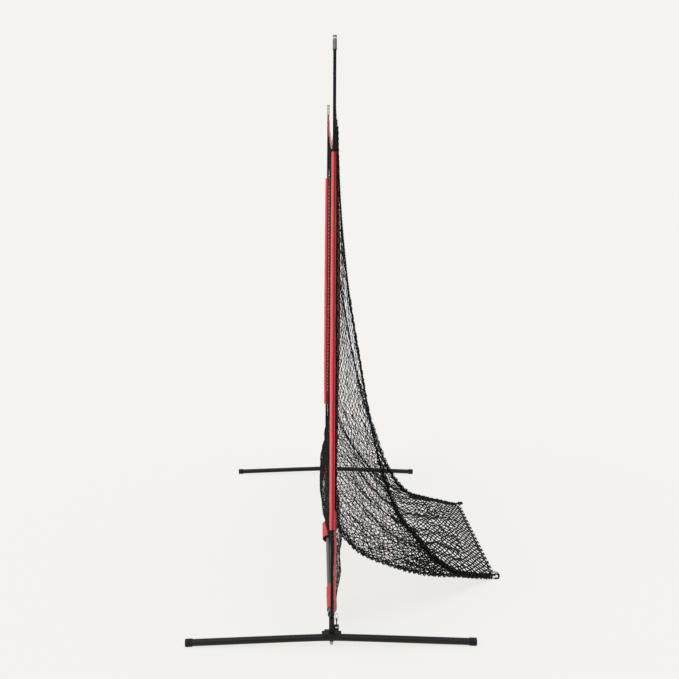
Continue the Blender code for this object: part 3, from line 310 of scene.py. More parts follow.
def red_woven_polyester(tree, place):
    """Coated polyester in a plain weave: saturated red, a soft sheen, paler and duller in random patches."""
    weave = woven(tree, place, 1.5)  # real threads are about 0.5 mm apart, drawn coarser to show
    wear = cloudy(tree, place, 35, 4.0)
    thread = blended(tree, weave, "BE0F1B", "E21F2C")
    base = blended(tree, spread(tree, wear, 0.52, 0.8, 0.0, 0.45), thread, "E4474E")
    fixed = {"IOR": 1.5, "Sheen Weight": 0.1, "Sheen Roughness": 0.4}
    return base, roughened(tree, wear, 0.42, 0.55), weave, 0.0003, fixed


def red_polyester_painted_light(tree, place):
    """The same cloth on the sleeves, with painted highlight on the crowns and painted shade in the crease and flange.
    """
    _, roughness, weave, depth, fixed = red_woven_polyester(tree, place)
    place = own_place(tree)
    uneven = spread(tree, cloudy(tree, place, 60, 2.0), *NOISE_SPAN, -0.0006, 0.0006)
    from_plane = combined(tree, "SUBTRACT", add_node(tree, "SeparateXYZ", feeds={0: place}).outputs[0], POLE_X)
    from_plane = combined(tree, "ADD", from_plane, uneven)
    from_crease = combined(tree, "ABSOLUTE", combined(tree, "SUBTRACT", from_plane, CREASE_X), 0.0)
    # painted shade: deep red along the long crease
    base = blended(tree, spread(tree, from_crease, 0.0022, 0.0040), "7E0408", "DE3039")
    # painted highlight: pale pink on the crown of the tube, on the side away from the net
    base = blended(tree, spread(tree, from_plane, -0.0010, -0.0085), base, "F0666A")
    # painted shade: dark maroon on the flange under the net's edge, which the bunched net shades
    base = blended(tree, spread(tree, from_plane, 0.0092, 0.0125), base, "4A070B")
    return base, roughness, weave, depth, fixed


def black_woven_tape(tree, place):
    """Black woven polyester tape: matte, with a fine rib across it."""
    wear = cloudy(tree, place, 30, 3.0)
    base = blended(tree, wear, "09090A", "161617")
    fixed = {"IOR": 1.5, "Specular IOR Level": 0.2}
    return base, roughened(tree, wear, 0.72, 0.85), woven(tree, place, 1.5), 0.0003, fixed


def pale_polypropylene_webbing(tree, place):
    """Undyed polypropylene webbing: off-white ribs across the strap, soiled in patches."""
    ribs = ribbed(tree, place, 1.8, "Y")
    soil = cloudy(tree, place, 12, 3.0)
    base = blended(tree, soil, "E4E1D8", "B9B4A6")
    return base, roughened(tree, soil, 0.7, 0.85), ribs, 0.0004, {"IOR": 1.5}


def black_knotless_twine(tree, place):
    """Braided polyester twine: matte black, rough with fine fibres that catch a little light."""
    fibres = cloudy(tree, place, 1.8, 3.0)
    base = blended(tree, fibres, "040404", "0F0F10")
    base = blended(tree, spread(tree, cloudy(tree, place, 120, 2.0), 0.5, 0.8, 0.0, 0.5), base, "181818")
    return base, roughened(tree, fibres, 0.62, 0.8), fibres, 0.0004, {"IOR": 1.5, "Specular IOR Level": 0.15}


def black_laid_cord(tree, place):
    """Black cord of laid strands: as the twine but a little glossier on the crowns of the strands."""
    fibres = cloudy(tree, place, 1.2, 3.0)
    base = blended(tree, fibres, "040405", "101011")
    return base, roughened(tree, fibres, 0.6, 0.8), fibres, 0.0003, {"IOR": 1.5, "Specular IOR Level": 0.2}


def pale_sewing_thread(tree, place):
    """Bonded polyester thread: pale pink beside the red cloth, with a slight shine."""
    twist = cloudy(tree, place, 1.5, 1.0)
    base = blended(tree, twist, "E8C6C1", "C98F8A")
    return base, roughened(tree, twist, 0.4, 0.6), twist, 0.0001, {"IOR": 1.5}


STEEL_TUBE, BAR_COAT, PLASTIC, FIBREGLASS, ZINC, TURNED, TWINE, CORD, THREAD = map(finished, (
    powder_coated_steel, glossy_powder_coated_steel, moulded_polypropylene, pultruded_fibreglass, zinc_plated_steel,
    turned_steel, black_knotless_twine, black_laid_cord, pale_sewing_thread))
RED_CLOTH, SLEEVE_CLOTH, BLACK_TAPE, WEBBING = (finished(cloth, cloth_place) for cloth in (
    red_woven_polyester, red_polyester_painted_light, black_woven_tape, pale_polypropylene_webbing))

CAD_FINISHES = {
    STEEL_TUBE: ("foot_tube", "hub_bracket"),
    BAR_COAT: ("base_bar_near", "base_bar_far"),
    PLASTIC: ("foot_cap", "swivel_saddle", "corner_hook"),
    FIBREGLASS: ("pole_lower", "pole_middle", "pole_upper"),
    ZINC: ("pivot_", "ferrule", "button", "coupler"),
    TURNED: ("tip_cap",),
}


def finish_cad_nodes():
    """Gives each carried-over CAD node the finish of its real material."""
    for name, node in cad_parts.items():
        for finish, words in CAD_FINISHES.items():
            if any(word in name for word in words):
                for slot in node.material_slots:
                    slot.material = finish


# ---------------------------------------------------------------- shapes of the hanging net


def limited(value):
    """A value held between 0 and 1."""
    return np.clip(value, 0, 1)


def pole_y(height):
    """Distance of the pole's centre line from the middle of the net."""
    share = np.maximum(0.0, (height - SOCKET_TOP) / (POLE_HEIGHT - SOCKET_TOP))
    return HUB_SPAN / 2 - TIP_LEAN * (3 * share ** 2 - share ** 3) / 2


def net_x(height):
    """How far the net in the frame hangs behind the plane of the poles."""
    return np.interp(height, (CORNER_LOW, SLEEVE_LOW, SLEEVE_HIGH, POLE_HEIGHT), (CORNER_X, NET_PLANE, NET_PLANE, 0))


TOP_HEM_END = float(pole_y(TOP_HEM_CORNER)) - 0.009


def top_hem_z(y):
    return TOP_HEM_MIDDLE + (TOP_HEM_CORNER - TOP_HEM_MIDDLE) * (np.abs(y) / TOP_HEM_END) ** 2


def belly(across, height):
    """Bow of the net in the frame: towards the bare side low in the middle, and back beside the poles."""
    low = (height - CORNER_LOW) / (BELLY_HEIGHT - CORNER_LOW)
    high = np.maximum(0.0, (BELLY_TOP - height) / (BELLY_TOP - BELLY_HEIGHT))
    share = limited(np.where(height < BELLY_HEIGHT, low, high))
    wave = share ** 2 * (3 - 2 * share)
    beside = np.minimum(across, 1 - across) / EDGE_SHARE
    edge = beside * np.exp(1 - beside)
    return wave * (EDGE_SWELL * edge - BELLY * np.sin(np.pi * across) ** 2)


def line_lengths(line):
    return np.concatenate([[0.0], np.cumsum(np.linalg.norm(np.diff(line, axis=0), axis=1))])


def points_at(at, stations, line):
    """Points of a line where its stations reach the values at."""
    return np.stack([np.interp(at, stations, line[:, k]) for k in range(3)], -1)


def respaced(line, count, pace=0.0):
    """The line again with count points, evenly spaced where pace is 0."""
    lengths = line_lengths(line)
    part = np.linspace(0, 1, count)
    return points_at(lengths[-1] * (part + pace * part * (1 - part)), lengths, line)


def smooth_route(points, count, pace=0.0):
    """A smooth curve through the given points (Catmull-Rom)."""
    knots = np.array(points, float)
    knots = np.vstack([2 * knots[0] - knots[1], knots, 2 * knots[-1] - knots[-2]])
    t = np.linspace(0, 1, 24, endpoint=False)[:, None]
    dense = []
    for before, start, end, after in zip(knots, knots[1:], knots[2:], knots[3:]):
        bend = 2 * before - 5 * start + 4 * end - after
        twist = 3 * start - before - 3 * end + after
        dense.append((2 * start + (end - before) * t + bend * t ** 2 + twist * t ** 3) / 2)
    line = respaced(np.vstack(dense + [knots[-2:-1]]), count, pace)
    line[:, 2] = np.maximum(line[:, 2], ROPE_REST)
    return line


def along(route, share):
    """Points at shares, 0 to 1, of a route's stations."""
    return points_at(share, np.linspace(0, 1, len(route)), route)


def corner_route(side, route, start, start_z, end_y, stations, pace=0.0):
    """Centre line of a rope from beside the pole to the back corner, through a route given in side view."""
    start_x, end_x = start[0], TRAIL_REACH - CORNER_SET
    start_y = float(pole_y(start_z)) - start[1]
    shares = [(x - route[0][0]) / (route[-1][0] - route[0][0]) for x, _ in route]
    points = [(start_x + (end_x - start_x) * share, side * (start_y + (end_y - start_y) * share), max(z, ROPE_REST))
              for share, (_, z) in zip(shares, route)]
    return smooth_route(points, stations, pace)


def drawn_in(route):
    """The top of a border, which its lacing draws in towards the pole."""
    shift = 0.0095 * limited(1 - line_lengths(route) / 0.70)
    return route - np.column_stack([shift, 0 * shift, 0 * shift])


BORDERS = {side: drawn_in(corner_route(side, BORDER_ROUTES[side], BORDER_START, TRAIL_TOP, TRAIL_HALF_WIDTH, 400))
           for side in SIDE_NAMES}
LOWERS = {side: corner_route(side, LOWER_ROUTES[side], LOWER_START, SLEEVE_LOW, TRAIL_HALF_WIDTH + CORNER_SPREAD, 300,
                             LOWER_PACE[side]) for side in SIDE_NAMES}


def ripple(first, second, seed, wavelength):
    """Soft seeded unevenness of two coordinates in metres, mostly between -1 and 1."""
    chance = np.random.default_rng(seed)
    waves = 7
    total = np.zeros(np.broadcast(first, second).shape)
    for _ in range(waves):
        heading = chance.uniform(0, 2 * np.pi)
        length = wavelength * chance.uniform(0.6, 1.8)
        phase = chance.uniform(0, 2 * np.pi)
        total = total + np.sin(2 * np.pi * (first * np.cos(heading) + second * np.sin(heading)) / length + phase)
    return total / waves * 1.5


def wander(at, seed, wavelength):
    """The same unevenness along one line."""
    return ripple(at, 0 * at, seed, wavelength)


# ---------------------------------------------------------------- mesh building


def unit(vectors):
    return vectors / np.maximum(np.linalg.norm(vectors, axis=-1, keepdims=True), 1e-12)


def new_piece(name, shape, finish, node=None, cloth_map=None):
    """Makes a piece from (points, faces), gives it a finish, and lets it ride on the frame in place of a CAD node."""
    points, faces = shape
    mesh = bpy.data.meshes.new(name)
    mesh.from_pydata((np.asarray(points) + (POLE_X, 0, 0)).tolist(), [], faces)
    if cloth_map is not None:
        corners = np.zeros(len(mesh.loops), np.int32)
        mesh.loops.foreach_get("vertex_index", corners)
        layer = mesh.uv_layers.new(name="cloth")
        layer.uv.foreach_set("vector", np.asarray(cloth_map)[corners].astype(np.float32).ravel())
    mesh.shade_smooth()
    mesh.set_sharp_from_angle(angle=math.radians(SHARP_ANGLE))
    mesh.materials.append(finish)
    piece = placed(name, mesh)
    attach(piece, "frame")
    if node:
        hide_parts(node)
    return piece


def joined(shapes):
    """Several (points, faces) as one."""
    faces = []
    count = 0
    for points, some_faces in shapes:
        faces.extend([[corner + count for corner in face] for face in some_faces])
        count += len(points)
    return np.vstack([points for points, _ in shapes]), faces


def ring_faces(rings, sides):
    """Quads between rings of points, closed round each ring."""
    ring = np.arange(rings - 1)[:, None] * sides
    here = ring + np.arange(sides)
    beside = ring + (np.arange(sides) + 1) % sides
    return np.stack([here, beside, beside + sides, here + sides], -1).reshape(-1, 4).tolist()


def capped(rings):
    """Rings of points (ring, point, 3) closed into one solid skin: (points, faces)."""
    count, sides = rings.shape[:2]
    last = (count - 1) * sides
    caps = [list(range(sides))[::-1], list(range(last, last + sides))]
    return rings.reshape(-1, 3), ring_faces(count, sides) + caps


def carried_frames(line):
    """Two directions square to a line at each of its points, carried along it without twist."""
    ahead = unit(np.gradient(line, axis=0))
    across = np.zeros_like(line)
    start = np.cross(ahead[0], (0, 0, 1) if abs(ahead[0][2]) < 0.9 else (1, 0, 0))
    across[0] = start / np.linalg.norm(start)
    for i in range(1, len(line)):
        carried = across[i - 1] - ahead[i] * across[i - 1].dot(ahead[i])
        across[i] = carried / np.linalg.norm(carried)
    return across, np.cross(ahead, across)


def tube(line, radius, sides):
    """A round strand along a line, closed at both ends."""
    across, lift = carried_frames(line)
    turn = 2 * np.pi * np.arange(sides) / sides
    size = np.broadcast_to(radius, len(line))[:, None, None]
    return capped(line[:, None] + size * (
        np.cos(turn)[:, None] * across[:, None] + np.sin(turn)[:, None] * lift[:, None]))


def swept(line, across, outline):
    """A closed outline of (across, out) points carried along a line: (points, faces) and its cloth map."""
    ahead = unit(np.gradient(line, axis=0))
    across = np.broadcast_to(across, line.shape)
    across = unit(across - ahead * (across * ahead).sum(-1, keepdims=True))
    out = np.cross(ahead, across)
    rings = line[:, None] + outline[None, :, :1] * across[:, None] + outline[None, :, 1:] * out[:, None]
    round_it = line_lengths(outline)
    cloth_map = np.stack(np.broadcast_arrays(round_it[None, :], line_lengths(line)[:, None]), -1)
    return capped(rings), cloth_map.reshape(-1, 2)


def hem_outline(width, thick, seams=(), pinch=0.0005):
    """Cross-section of a folded strip of cloth, pulled in along its rows of stitches."""
    share = np.sin(np.linspace(-np.pi / 2, np.pi / 2, 17))
    half = thick / 2 * (1 - np.abs(share) ** 12) ** 0.5 + 0.0002
    for seam in seams:
        half = half - pinch * np.exp(-((share * width / 2 - seam) / 0.0016) ** 2)
    top = np.column_stack([share * width / 2, half])
    under = np.column_stack([share[::-1] * width / 2, -half[::-1]])
    return np.vstack([top, under])


def cloth_sheet(grid, thick):
    """A grid (rows, columns, 3) of a cloth's middle surface, given its thickness: a shape and its cloth map."""
    rows, columns = grid.shape[:2]
    normal = unit(np.cross(np.gradient(grid, axis=1), np.gradient(grid, axis=0)))
    points = np.vstack([(grid + normal * thick / 2).reshape(-1, 3), (grid - normal * thick / 2).reshape(-1, 3)])
    count = rows * columns
    index = np.arange(count).reshape(rows, columns)
    quads = np.stack([index[:-1, :-1], index[1:, :-1], index[1:, 1:], index[:-1, 1:]], -1).reshape(-1, 4)
    edge = np.concatenate([index[0, :], index[1:, -1], index[-1, -2::-1], index[-2:0:-1, 0]])
    after = np.roll(edge, -1)
    rim = np.stack([edge, after, after + count, edge + count], -1)
    faces = quads.tolist() + (quads[:, ::-1] + count).tolist() + rim.tolist()
    wide = np.concatenate([np.zeros((rows, 1)), np.cumsum(np.linalg.norm(np.diff(grid, axis=1), axis=2), 1)], 1)
    high = np.concatenate([np.zeros((1, columns)), np.cumsum(np.linalg.norm(np.diff(grid, axis=0), axis=2), 0)], 0)
    return (points, faces), np.tile(np.stack([wide, high], -1).reshape(-1, 2), (2, 1))


def stitches(line, out, length=0.0042, gap=0.0030, radius=0.0006):
    """A row of thread stitches that lie on a cloth along a line; out is the side they show on."""
    lengths = line_lengths(line)
    out = np.broadcast_to(out, line.shape)
    shapes = []
    for start in np.arange(gap, lengths[-1] - length - gap, length + gap):
        at = start + length * np.array([0, 0.2, 0.5, 0.8, 1])
        rise = np.array([-0.3, 0.6, 1.0, 0.6, -0.3])[:, None] * radius
        place = points_at(at, lengths, line) + unit(points_at(at, lengths, out)) * rise
        shapes.append(tube(place, radius * np.array([0.5, 1, 1, 1, 0.5]), 4))
    return shapes


# ---------------------------------------------------------------- netting


def strand_places(family, fixed, step, mesh, joint):
    """Cloth coordinates of points on the strands of a diamond mesh; joint draws the strands together at crossings."""
    first = np.where(family == 0, step, fixed)
    second = np.where(family == 0, fixed, step)
    close = joint * np.sin(2 * np.pi * step) / (2 * np.pi) * np.where(family == 0, -1, 1)
    return (first - second + close) * mesh[0] / 2, (first + second) * mesh[1] / 2


def cut_strands(inside, half_width, length, mesh, steps, joint):
    """Both families of strands, each cut off where the cloth ends: family, fixed and step of every point."""
    count = int(half_width / mesh[0] + length / mesh[1]) + 2
    grid = np.arange(-count * steps, count * steps + 1) / steps
    runs = []
    for family in (0, 1):
        for fixed in range(-count, count + 1):
            held = inside(*strand_places(family, fixed, grid, mesh, joint)) > 0
            held[[0, -1]] = False
            changes = np.flatnonzero(np.diff(held.astype(int))).reshape(-1, 2)
            runs += [(family, fixed, first + 1, last) for first, last in changes if last - first > 1]
    runs = np.array(runs)
    family = np.repeat(runs[:, 0], 2)
    fixed = np.repeat(runs[:, 1], 2)
    kept = grid[runs[:, 2:]].ravel()
    gone = kept + np.tile([-1 / steps, 1 / steps], len(runs))
    for _ in range(16):
        middle = (kept + gone) / 2
        good = inside(*strand_places(family, fixed, middle, mesh, joint)) > 0
        kept = np.where(good, middle, kept)
        gone = np.where(good, gone, middle)
    strands = []
    for (family, fixed, first, last), (start, end) in zip(runs, kept.reshape(-1, 2)):
        inner = grid[first:last + 1]
        near_end = 0.2 / steps
        inner = inner[(inner - start > near_end) & (end - inner > near_end)]
        step = np.concatenate([[start], inner, [end]])
        strands.append((family, fixed, step))
    return strands


def netting(inside, place, thickness, half_width, length, mesh, seed, steps=1, joint=0.0):
    """A knotless net of twine over a cloth surface: place(u, v) gives its points, thickness(u, v) its half
    thickness, and inside(u, v) is above 0 where there is cloth."""
    strands = cut_strands(inside, half_width, length, mesh, steps, joint)
    sizes = np.array([len(step) for _, _, step in strands])
    family = np.repeat([family for family, _, _ in strands], sizes)
    fixed = np.repeat([fixed for _, fixed, _ in strands], sizes)
    step = np.concatenate([step for _, _, step in strands])
    u, v = strand_places(family, fixed, step, mesh, joint)
    line = place(u, v)
    small = 0.002
    wide = place(u + small, v) - place(u - small, v)
    down = place(u, v + small) - place(u, v - small)
    normal = unit(np.cross(wide, down))
    over = np.cos(np.pi * (step + fixed)) * np.where(family == 0, 1, -1)
    line = line + normal * (over * STRAND_LIFT)[:, None]
    line[:, 2] = np.maximum(line[:, 2], STRAND_REST)
    ends = np.cumsum(sizes)
    starts = ends - sizes
    index = np.arange(len(step))
    strand = np.repeat(np.arange(len(sizes)), sizes)
    ahead = unit(line[np.minimum(index + 1, ends[strand] - 1)] - line[np.maximum(index - 1, starts[strand])])
    across = unit(np.cross(normal, ahead))
    lift = np.cross(ahead, across)
    chance = np.random.default_rng(seed)
    size = thickness(u, v) * chance.uniform(0.86, 1.14, len(step)) * (1 + 0.25 * joint * np.cos(2 * np.pi * step))
    corner = np.arange(4)
    turn = corner * np.pi / 2
    rings = line[:, None] + size[:, None, None] * (
        TWINE_FLATNESS * np.cos(turn)[:, None] * across[:, None] + np.sin(turn)[:, None] * lift[:, None])
    here = index[np.isin(index, ends - 1, invert=True)][:, None] * 4 + corner
    beside = here - corner + (corner + 1) % 4
    faces = np.stack([here, beside, beside + 4, here + 4], -1).reshape(-1, 4)
    first_caps = starts[:, None] * 4 + corner[::-1]
    last_caps = (ends - 1)[:, None] * 4 + corner
    return rings.reshape(-1, 3), np.vstack([faces, first_caps, last_caps]).tolist()


def gathered(distance, extra, reach):
    """Distance from an edge on the hung net, where extra cloth is bunched up against that edge."""
    return distance - extra * (1 - np.exp(-distance / reach))


def frame_net_half(height):
    """Half width of the net in the frame at one height."""
    stations = (0, SLEEVE_LOW, SLEEVE_LOW + 0.12, SLEEVE_HIGH, SLEEVE_HIGH + 0.05)
    beside = (SIDE_HEM_REACH + 0.001, SIDE_HEM_REACH + 0.001, 0.002, 0.002, POLE_R + 0.006)
    return pole_y(height) - np.interp(height, stations, beside)


def frame_net_face(point, fullness):
    """X of the net in the frame at points of it, with a share of its belly."""
    height = point[..., 2]
    across = limited((point[..., 1] / frame_net_half(height) + 1) / 2)
    return net_x(height) + fullness * belly(across, height)


def make_frame_net():
    """The large net between the poles, bunched towards its side edges low down where it hangs slack."""
    low = CORNER_LOW + BOTTOM_HEM_WIDTH - 0.002
    bunch = 0.055  # how far in from the edge the slack is gathered

    def slack(height):
        return np.interp(height, (0.2, 0.45, 0.9, 1.3), (0.012, 0.035, 0.012, 0.0))

    def hung(u, v):
        height = low + v
        half = frame_net_half(height)
        extra = slack(height)
        from_edge = half + extra - np.abs(u)
        return height, from_edge, np.sign(u) * (half - gathered(from_edge, extra, bunch))

    def inside(u, v):
        height, from_edge, y = hung(u, v)
        top = top_hem_z(np.clip(y, -TOP_HEM_END, TOP_HEM_END)) - TOP_HEM_WIDTH + 0.002
        return np.minimum(np.minimum(from_edge, v), top - height)

    def place(u, v):
        height, from_edge, y = hung(u, v)
        point = np.stack([0 * y, y, height + 0 * u], -1)
        room = limited(np.maximum(from_edge, 0) / 0.06)
        pleat = np.sin(2 * np.pi * from_edge / 0.045 + 2 * ripple(u, v, 3, 0.5)) * np.exp(-from_edge / 0.10)
        free = limited(slack(height) / 0.035)
        low_down = np.interp(height, (0.16, 0.30, 0.50, 0.75), (0.3, 1.0, 1.0, 0.12))
        sway = 0.005 * ripple(u, v, 5, 0.3) + 0.010 * ripple(u, v, 7, 0.13) + 0.006 * pleat * free
        above = limited((height - SLEEVE_HIGH) / 0.05) * np.exp(-np.maximum(from_edge, 0) / 0.03)
        on_flange = np.interp(height, (0.75, 1.0, SLEEVE_HIGH - 0.1, SLEEVE_HIGH), (0, 0.0045, 0.0045, 0))
        face = frame_net_face(point, np.interp(height, (0.36, 0.60), (0.95, 0.25)))
        point[..., 0] = face + room * low_down * sway - 0.008 * above + on_flange
        return point

    def thickness(_, v):
        return np.interp(v, (0.25, 0.70), (0.0009, 0.0011))

    shape = netting(inside, place, thickness, NET_REACH, 2.0, FRAME_MESH, seed=11)
    return new_piece("net_in_frame", shape, TWINE, "frame_net")


def return_edge(side, shares):
    """Edge of the ball return: along the lower rope, and along the border rope where the two run side by side."""
    point = along(LOWERS[side], shares)
    border_y, border_z = (np.interp(point[:, 0], BORDERS[side][:, 0], BORDERS[side][:, k]) for k in (1, 2))
    crossed = np.interp(border_z - point[:, 2], CROSSING, (1.0, 0.0))
    point[:, 1] += (border_y - point[:, 1]) * crossed
    return point


def make_ball_return():
    """The net from the lower part of the frame's net down to the floor, between the two lower ropes."""
    shares = np.linspace(1 / 18, 1, 400)
    near = return_edge(NEAR, shares)
    far = return_edge(FAR, shares)
    ridge = (near + far)[:, (0, 2)] / 2
    ridge[:, 0] -= 0.080 * limited(1 - np.linspace(0, 1, 400) / RETURN_DRAW) ** 2
    down_ridge = line_lengths(ridge)
    length = down_ridge[-1]
    room = ROPE_R + 0.001
    past_rope = 0.016  # the mesh is laced over the back rope and its tips stand out behind it

    def ends(down):
        return [points_at(limited(down) * length, down_ridge, edge) for edge in (near, far)]

    def hung(u, v):
        down = limited(v / length)
        first, last = ends(down)
        width = np.linalg.norm(last - first, axis=-1)
        half = width / 2 - room
        extra = np.interp(down, (0, 0.5, 1.0), (0.030, 0.026, 0.012))
        from_edge = half + extra - np.abs(u)
        at = np.sign(u) * (half - gathered(from_edge, extra, 0.030))
        return from_edge, down, limited(0.5 + at / width)

    def inside(u, v):
        return np.minimum(np.minimum(hung(u, v)[0], v), length + past_rope - v)

    def surface(down, across):
        first, last = ends(down)
        point = first + (last - first) * across[..., None]
        drawn = limited(1 - down / RETURN_DRAW) ** 2 * limited(np.minimum(across, 1 - across) / EDGE_SHARE)
        point[..., 0] += (frame_net_face(point, 0.90) + 0.008 - point[..., 0]) * drawn
        return point

    def place(u, v):
        from_edge, down, across = hung(u, v)
        point = surface(down, across)
        point[..., 0] += np.maximum(0, v - length)
        slope = unit(surface(limited(down + 0.01), across) - surface(limited(down - 0.01), across))
        normal = np.stack([-slope[..., 2], 0 * down, slope[..., 0]], -1)
        inner = limited(from_edge / 0.08) * limited(v / 0.06) * limited((length - v) / 0.1)
        laid = np.interp(point[..., 2], (0.02, 0.12), (0.3, 1.0))
        fade = np.sin(np.pi * down) ** 2 * np.sin(np.pi * across)
        folds = 0.012 * laid * fade * np.sin(10 * np.pi * across + 1.5 * wander(v, 8, 0.5))
        crumple = 0.006 * np.exp(-from_edge / 0.05) * np.sin(2 * np.pi * from_edge / 0.022 + 3 * ripple(u, v, 4, 0.3))
        lift = folds + inner * (0.006 * ripple(u, v, 9, 0.28) + 0.0035 * ripple(u, v, 10, 0.06)) * (0.4 + 0.6 * laid)
        lift = lift + limited(from_edge / 0.01) * crumple * laid
        drift = inner * (0.008 * ripple(u, v, 13, 0.09) + 0.0045 * ripple(u, v, 14, 0.035))
        jostle = inner * (0.012 * ripple(u, v, 15, 0.09) + 0.009 * ripple(u, v, 16, 0.035))
        point = point + np.stack([drift * slope[..., 0], jostle, drift * slope[..., 2]], -1)
        on_floor = np.interp(point[..., 2], (0.02, 0.08), (1.0, 0.0)) * inner
        rolls = 0.0030 * (1 + np.sin(2 * np.pi * v / 0.034 + 2.5 * ripple(u, v, 17, 0.25)))
        lift = lift + on_floor * rolls
        point = point + normal * lift[..., None]
        over_rope = limited((v - length + 0.02) / 0.02) * limited((length + past_rope - v) / 0.008)
        point[..., 2] = np.maximum(point[..., 2], NET_REST + 0.0065 * over_rope)
        return point

    def thickness(_, v):
        return np.interp(v, (0.45 * length, 0.72 * length), (0.0013, 0.0030))

    shape = netting(inside, place, thickness, NET_REACH, length + 0.05, RETURN_MESH, seed=12)
    return new_piece("ball_return_netting", shape, TWINE, "ball_return_net")


# Creases that the pull of the back corner draws in the wings (x, z), strength
WING_CREASES = (
    (((0.012, 0.500), (0.060, 0.462), (0.098, 0.420), (0.142, 0.310)), 0.80),
    (((0.055, 0.565), (0.108, 0.520)), 0.65),
    (((0.130, 0.495), (0.185, 0.468)), 0.65),
    (((0.030, 0.420), (0.055, 0.395), (0.085, 0.330)), 0.70),
    (((0.190, 0.400), (0.235, 0.300), (0.300, 0.215)), 0.60),
)


def creased(point, lines):
    """Draws netting together along creases in side view, so that its strands bunch there into dark lines."""
    for line, pull in lines:
        for start, end in zip(line, line[1:]):
            run = np.subtract(end, start)
            length = np.linalg.norm(run)
            ahead = run / length
            beside = np.array((-ahead[1], ahead[0]))
            offset = point[..., (0, 2)] - start
            at = offset @ ahead
            away = offset @ beside
            within = limited(at / 0.012 + 1) * limited((length - at) / 0.012 + 1)
            shift = -away * pull * within * np.exp(-(away / 0.015) ** 2)
            point[..., 0] += shift * beside[0]
            point[..., 2] += shift * beside[1]
    return point


def flange_reach(height):
    """X of the outer edge of the sleeve's sewn flange, which draws in a little above the sleeve's foot."""
    stations = (SLEEVE_LOW, 0.47, 0.52, 0.60, 0.95, 1.15, 1.40, 1.50, 1.58, 1.65, SLEEVE_HIGH, TRAIL_TOP)
    return np.interp(height, stations, (0.0165, 0.0165, 0.0160, 0.0160, 0.0200, FLANGE_END, FLANGE_END, 0.0205,
                                        0.0170, 0.0145, 0.0125, 0.0080))


def make_wing(side):
    """Triangular side wing, laced over the flange of the sleeve and out to the border rope."""
    border = BORDERS[side]
    lower = LOWERS[side]
    flange_x = 0.0100
    flange_face = 0.0034

    def edges(share):
        height = TRAIL_TOP + (SLEEVE_LOW - TRAIL_TOP) * np.minimum(share, HEM_SPLIT) / HEM_SPLIT
        below = along(lower, limited((share - HEM_SPLIT) / (1 - HEM_SPLIT)))
        to_rope = (limited((share - SLEEVE_LACED) / (HEM_SPLIT - SLEEVE_LACED)) ** 2)[..., None]
        on_rope = (share > HEM_SPLIT)[..., None]
        face = side * (pole_y(height) + flange_face)
        found = []
        for x in (flange_x + 0 * share, flange_reach(height) + 0.0022):
            beside_pole = np.stack([x, face, height], -1)
            found.append(np.where(on_rope, below, beside_pole + (lower[0] - beside_pole) * to_rope))
        return *found, along(border, share)

    shares = np.linspace(0.012, 0.985, 400)
    front, _, back = edges(shares)
    slack_down = np.interp(shares, WING_OPENS, (1.0, 1.40))  # low down the meshes hang open and short
    steps_down = np.linalg.norm(np.diff((front + back) / 2, axis=0), axis=1) * slack_down[1:]
    down_middle = np.concatenate([[0.0], np.cumsum(steps_down)])
    length = down_middle[-1]

    def hung(u, v):
        share = np.interp(v, down_middle, shares)
        inner, turn, outer = edges(share)
        first = np.linalg.norm(turn - inner, axis=-1)
        second = np.linalg.norm(outer - turn, axis=-1)
        narrow = limited(second / 0.12)
        on_sleeve = limited((HEM_SPLIT - share) / 0.05)
        front_extra = 0.012 * narrow + 0.032 * on_sleeve
        back_extra = np.interp(share, (0, 0.35, 0.5, 0.9, 1.0), (0.001, 0.003, 0.014, 0.020, 0.01)) * narrow
        open_out = np.interp(share, WING_OPENS, (1.0, 0.92))
        cloth = (first + second) * open_out + front_extra + back_extra
        from_front = u + cloth / 2
        from_back = cloth / 2 - u
        bunched = front_extra * (1 - np.exp(-from_front / 0.026)) + back_extra * np.exp(-from_back / 0.030)
        at = (from_front - bunched) / open_out
        on_flange = limited(at / np.maximum(first, 1e-6))[..., None]
        beyond = limited((at - first) / second)[..., None]
        point = inner + (turn - inner) * on_flange + (outer - turn) * beyond
        return from_front, from_back, share, at - first, point

    def inside(u, v):
        from_front, from_back = hung(u, v)[:2]
        return np.minimum(np.minimum(from_front, from_back - 0.001), np.minimum(v, length - v))

    def place(u, v):
        _, from_back, share, past_flange, point = hung(u, v)
        room = limited(past_flange / 0.05) * limited(from_back / 0.04)
        slack = room * np.interp(share, (0.3, 0.65), (0.6, 1.25))
        crumple = 0.005 * np.exp(-from_back / 0.04) * np.sin(2 * np.pi * from_back / 0.02 + 3 * ripple(u, v, 6, 0.3))
        crumple = crumple * limited(from_back / 0.01) * limited(share / 0.4)

        def uneven(large, small):
            return sum(depth * ripple(u, v, seed + side, size) for depth, seed, size in (large, small))

        point[..., 0] += slack * uneven((0.0040, 26, 0.06), (0.0022, 32, 0.03))
        point[..., 1] += side * (room * uneven((0.007, 20, 0.22), (0.003, 24, 0.06)) + crumple)
        point[..., 2] += slack * uneven((0.0060, 28, 0.07), (0.0025, 34, 0.03))
        point = creased(point, WING_CREASES)
        point[..., 2] = np.maximum(point[..., 2], NET_REST)
        return point

    def thickness(u, v):
        from_front = hung(u, v)[0]
        in_the_open = np.interp(v, (0.45 * length, 0.75 * length), (0.0010, 0.0018))
        off_flange = limited((from_front - 0.022) / 0.012)
        return np.interp(from_front, (0.022, 0.034), (0.0026, 0.0)) + in_the_open * off_flange

    shape = netting(inside, place, thickness, 0.30, length + 0.02, WING_MESH, seed=30 + side, steps=3, joint=0.7)
    return new_piece(f"{SIDE_NAMES[side]}_netted_wing", shape, TWINE, f"{SIDE_NAMES[side]}_side_wing")


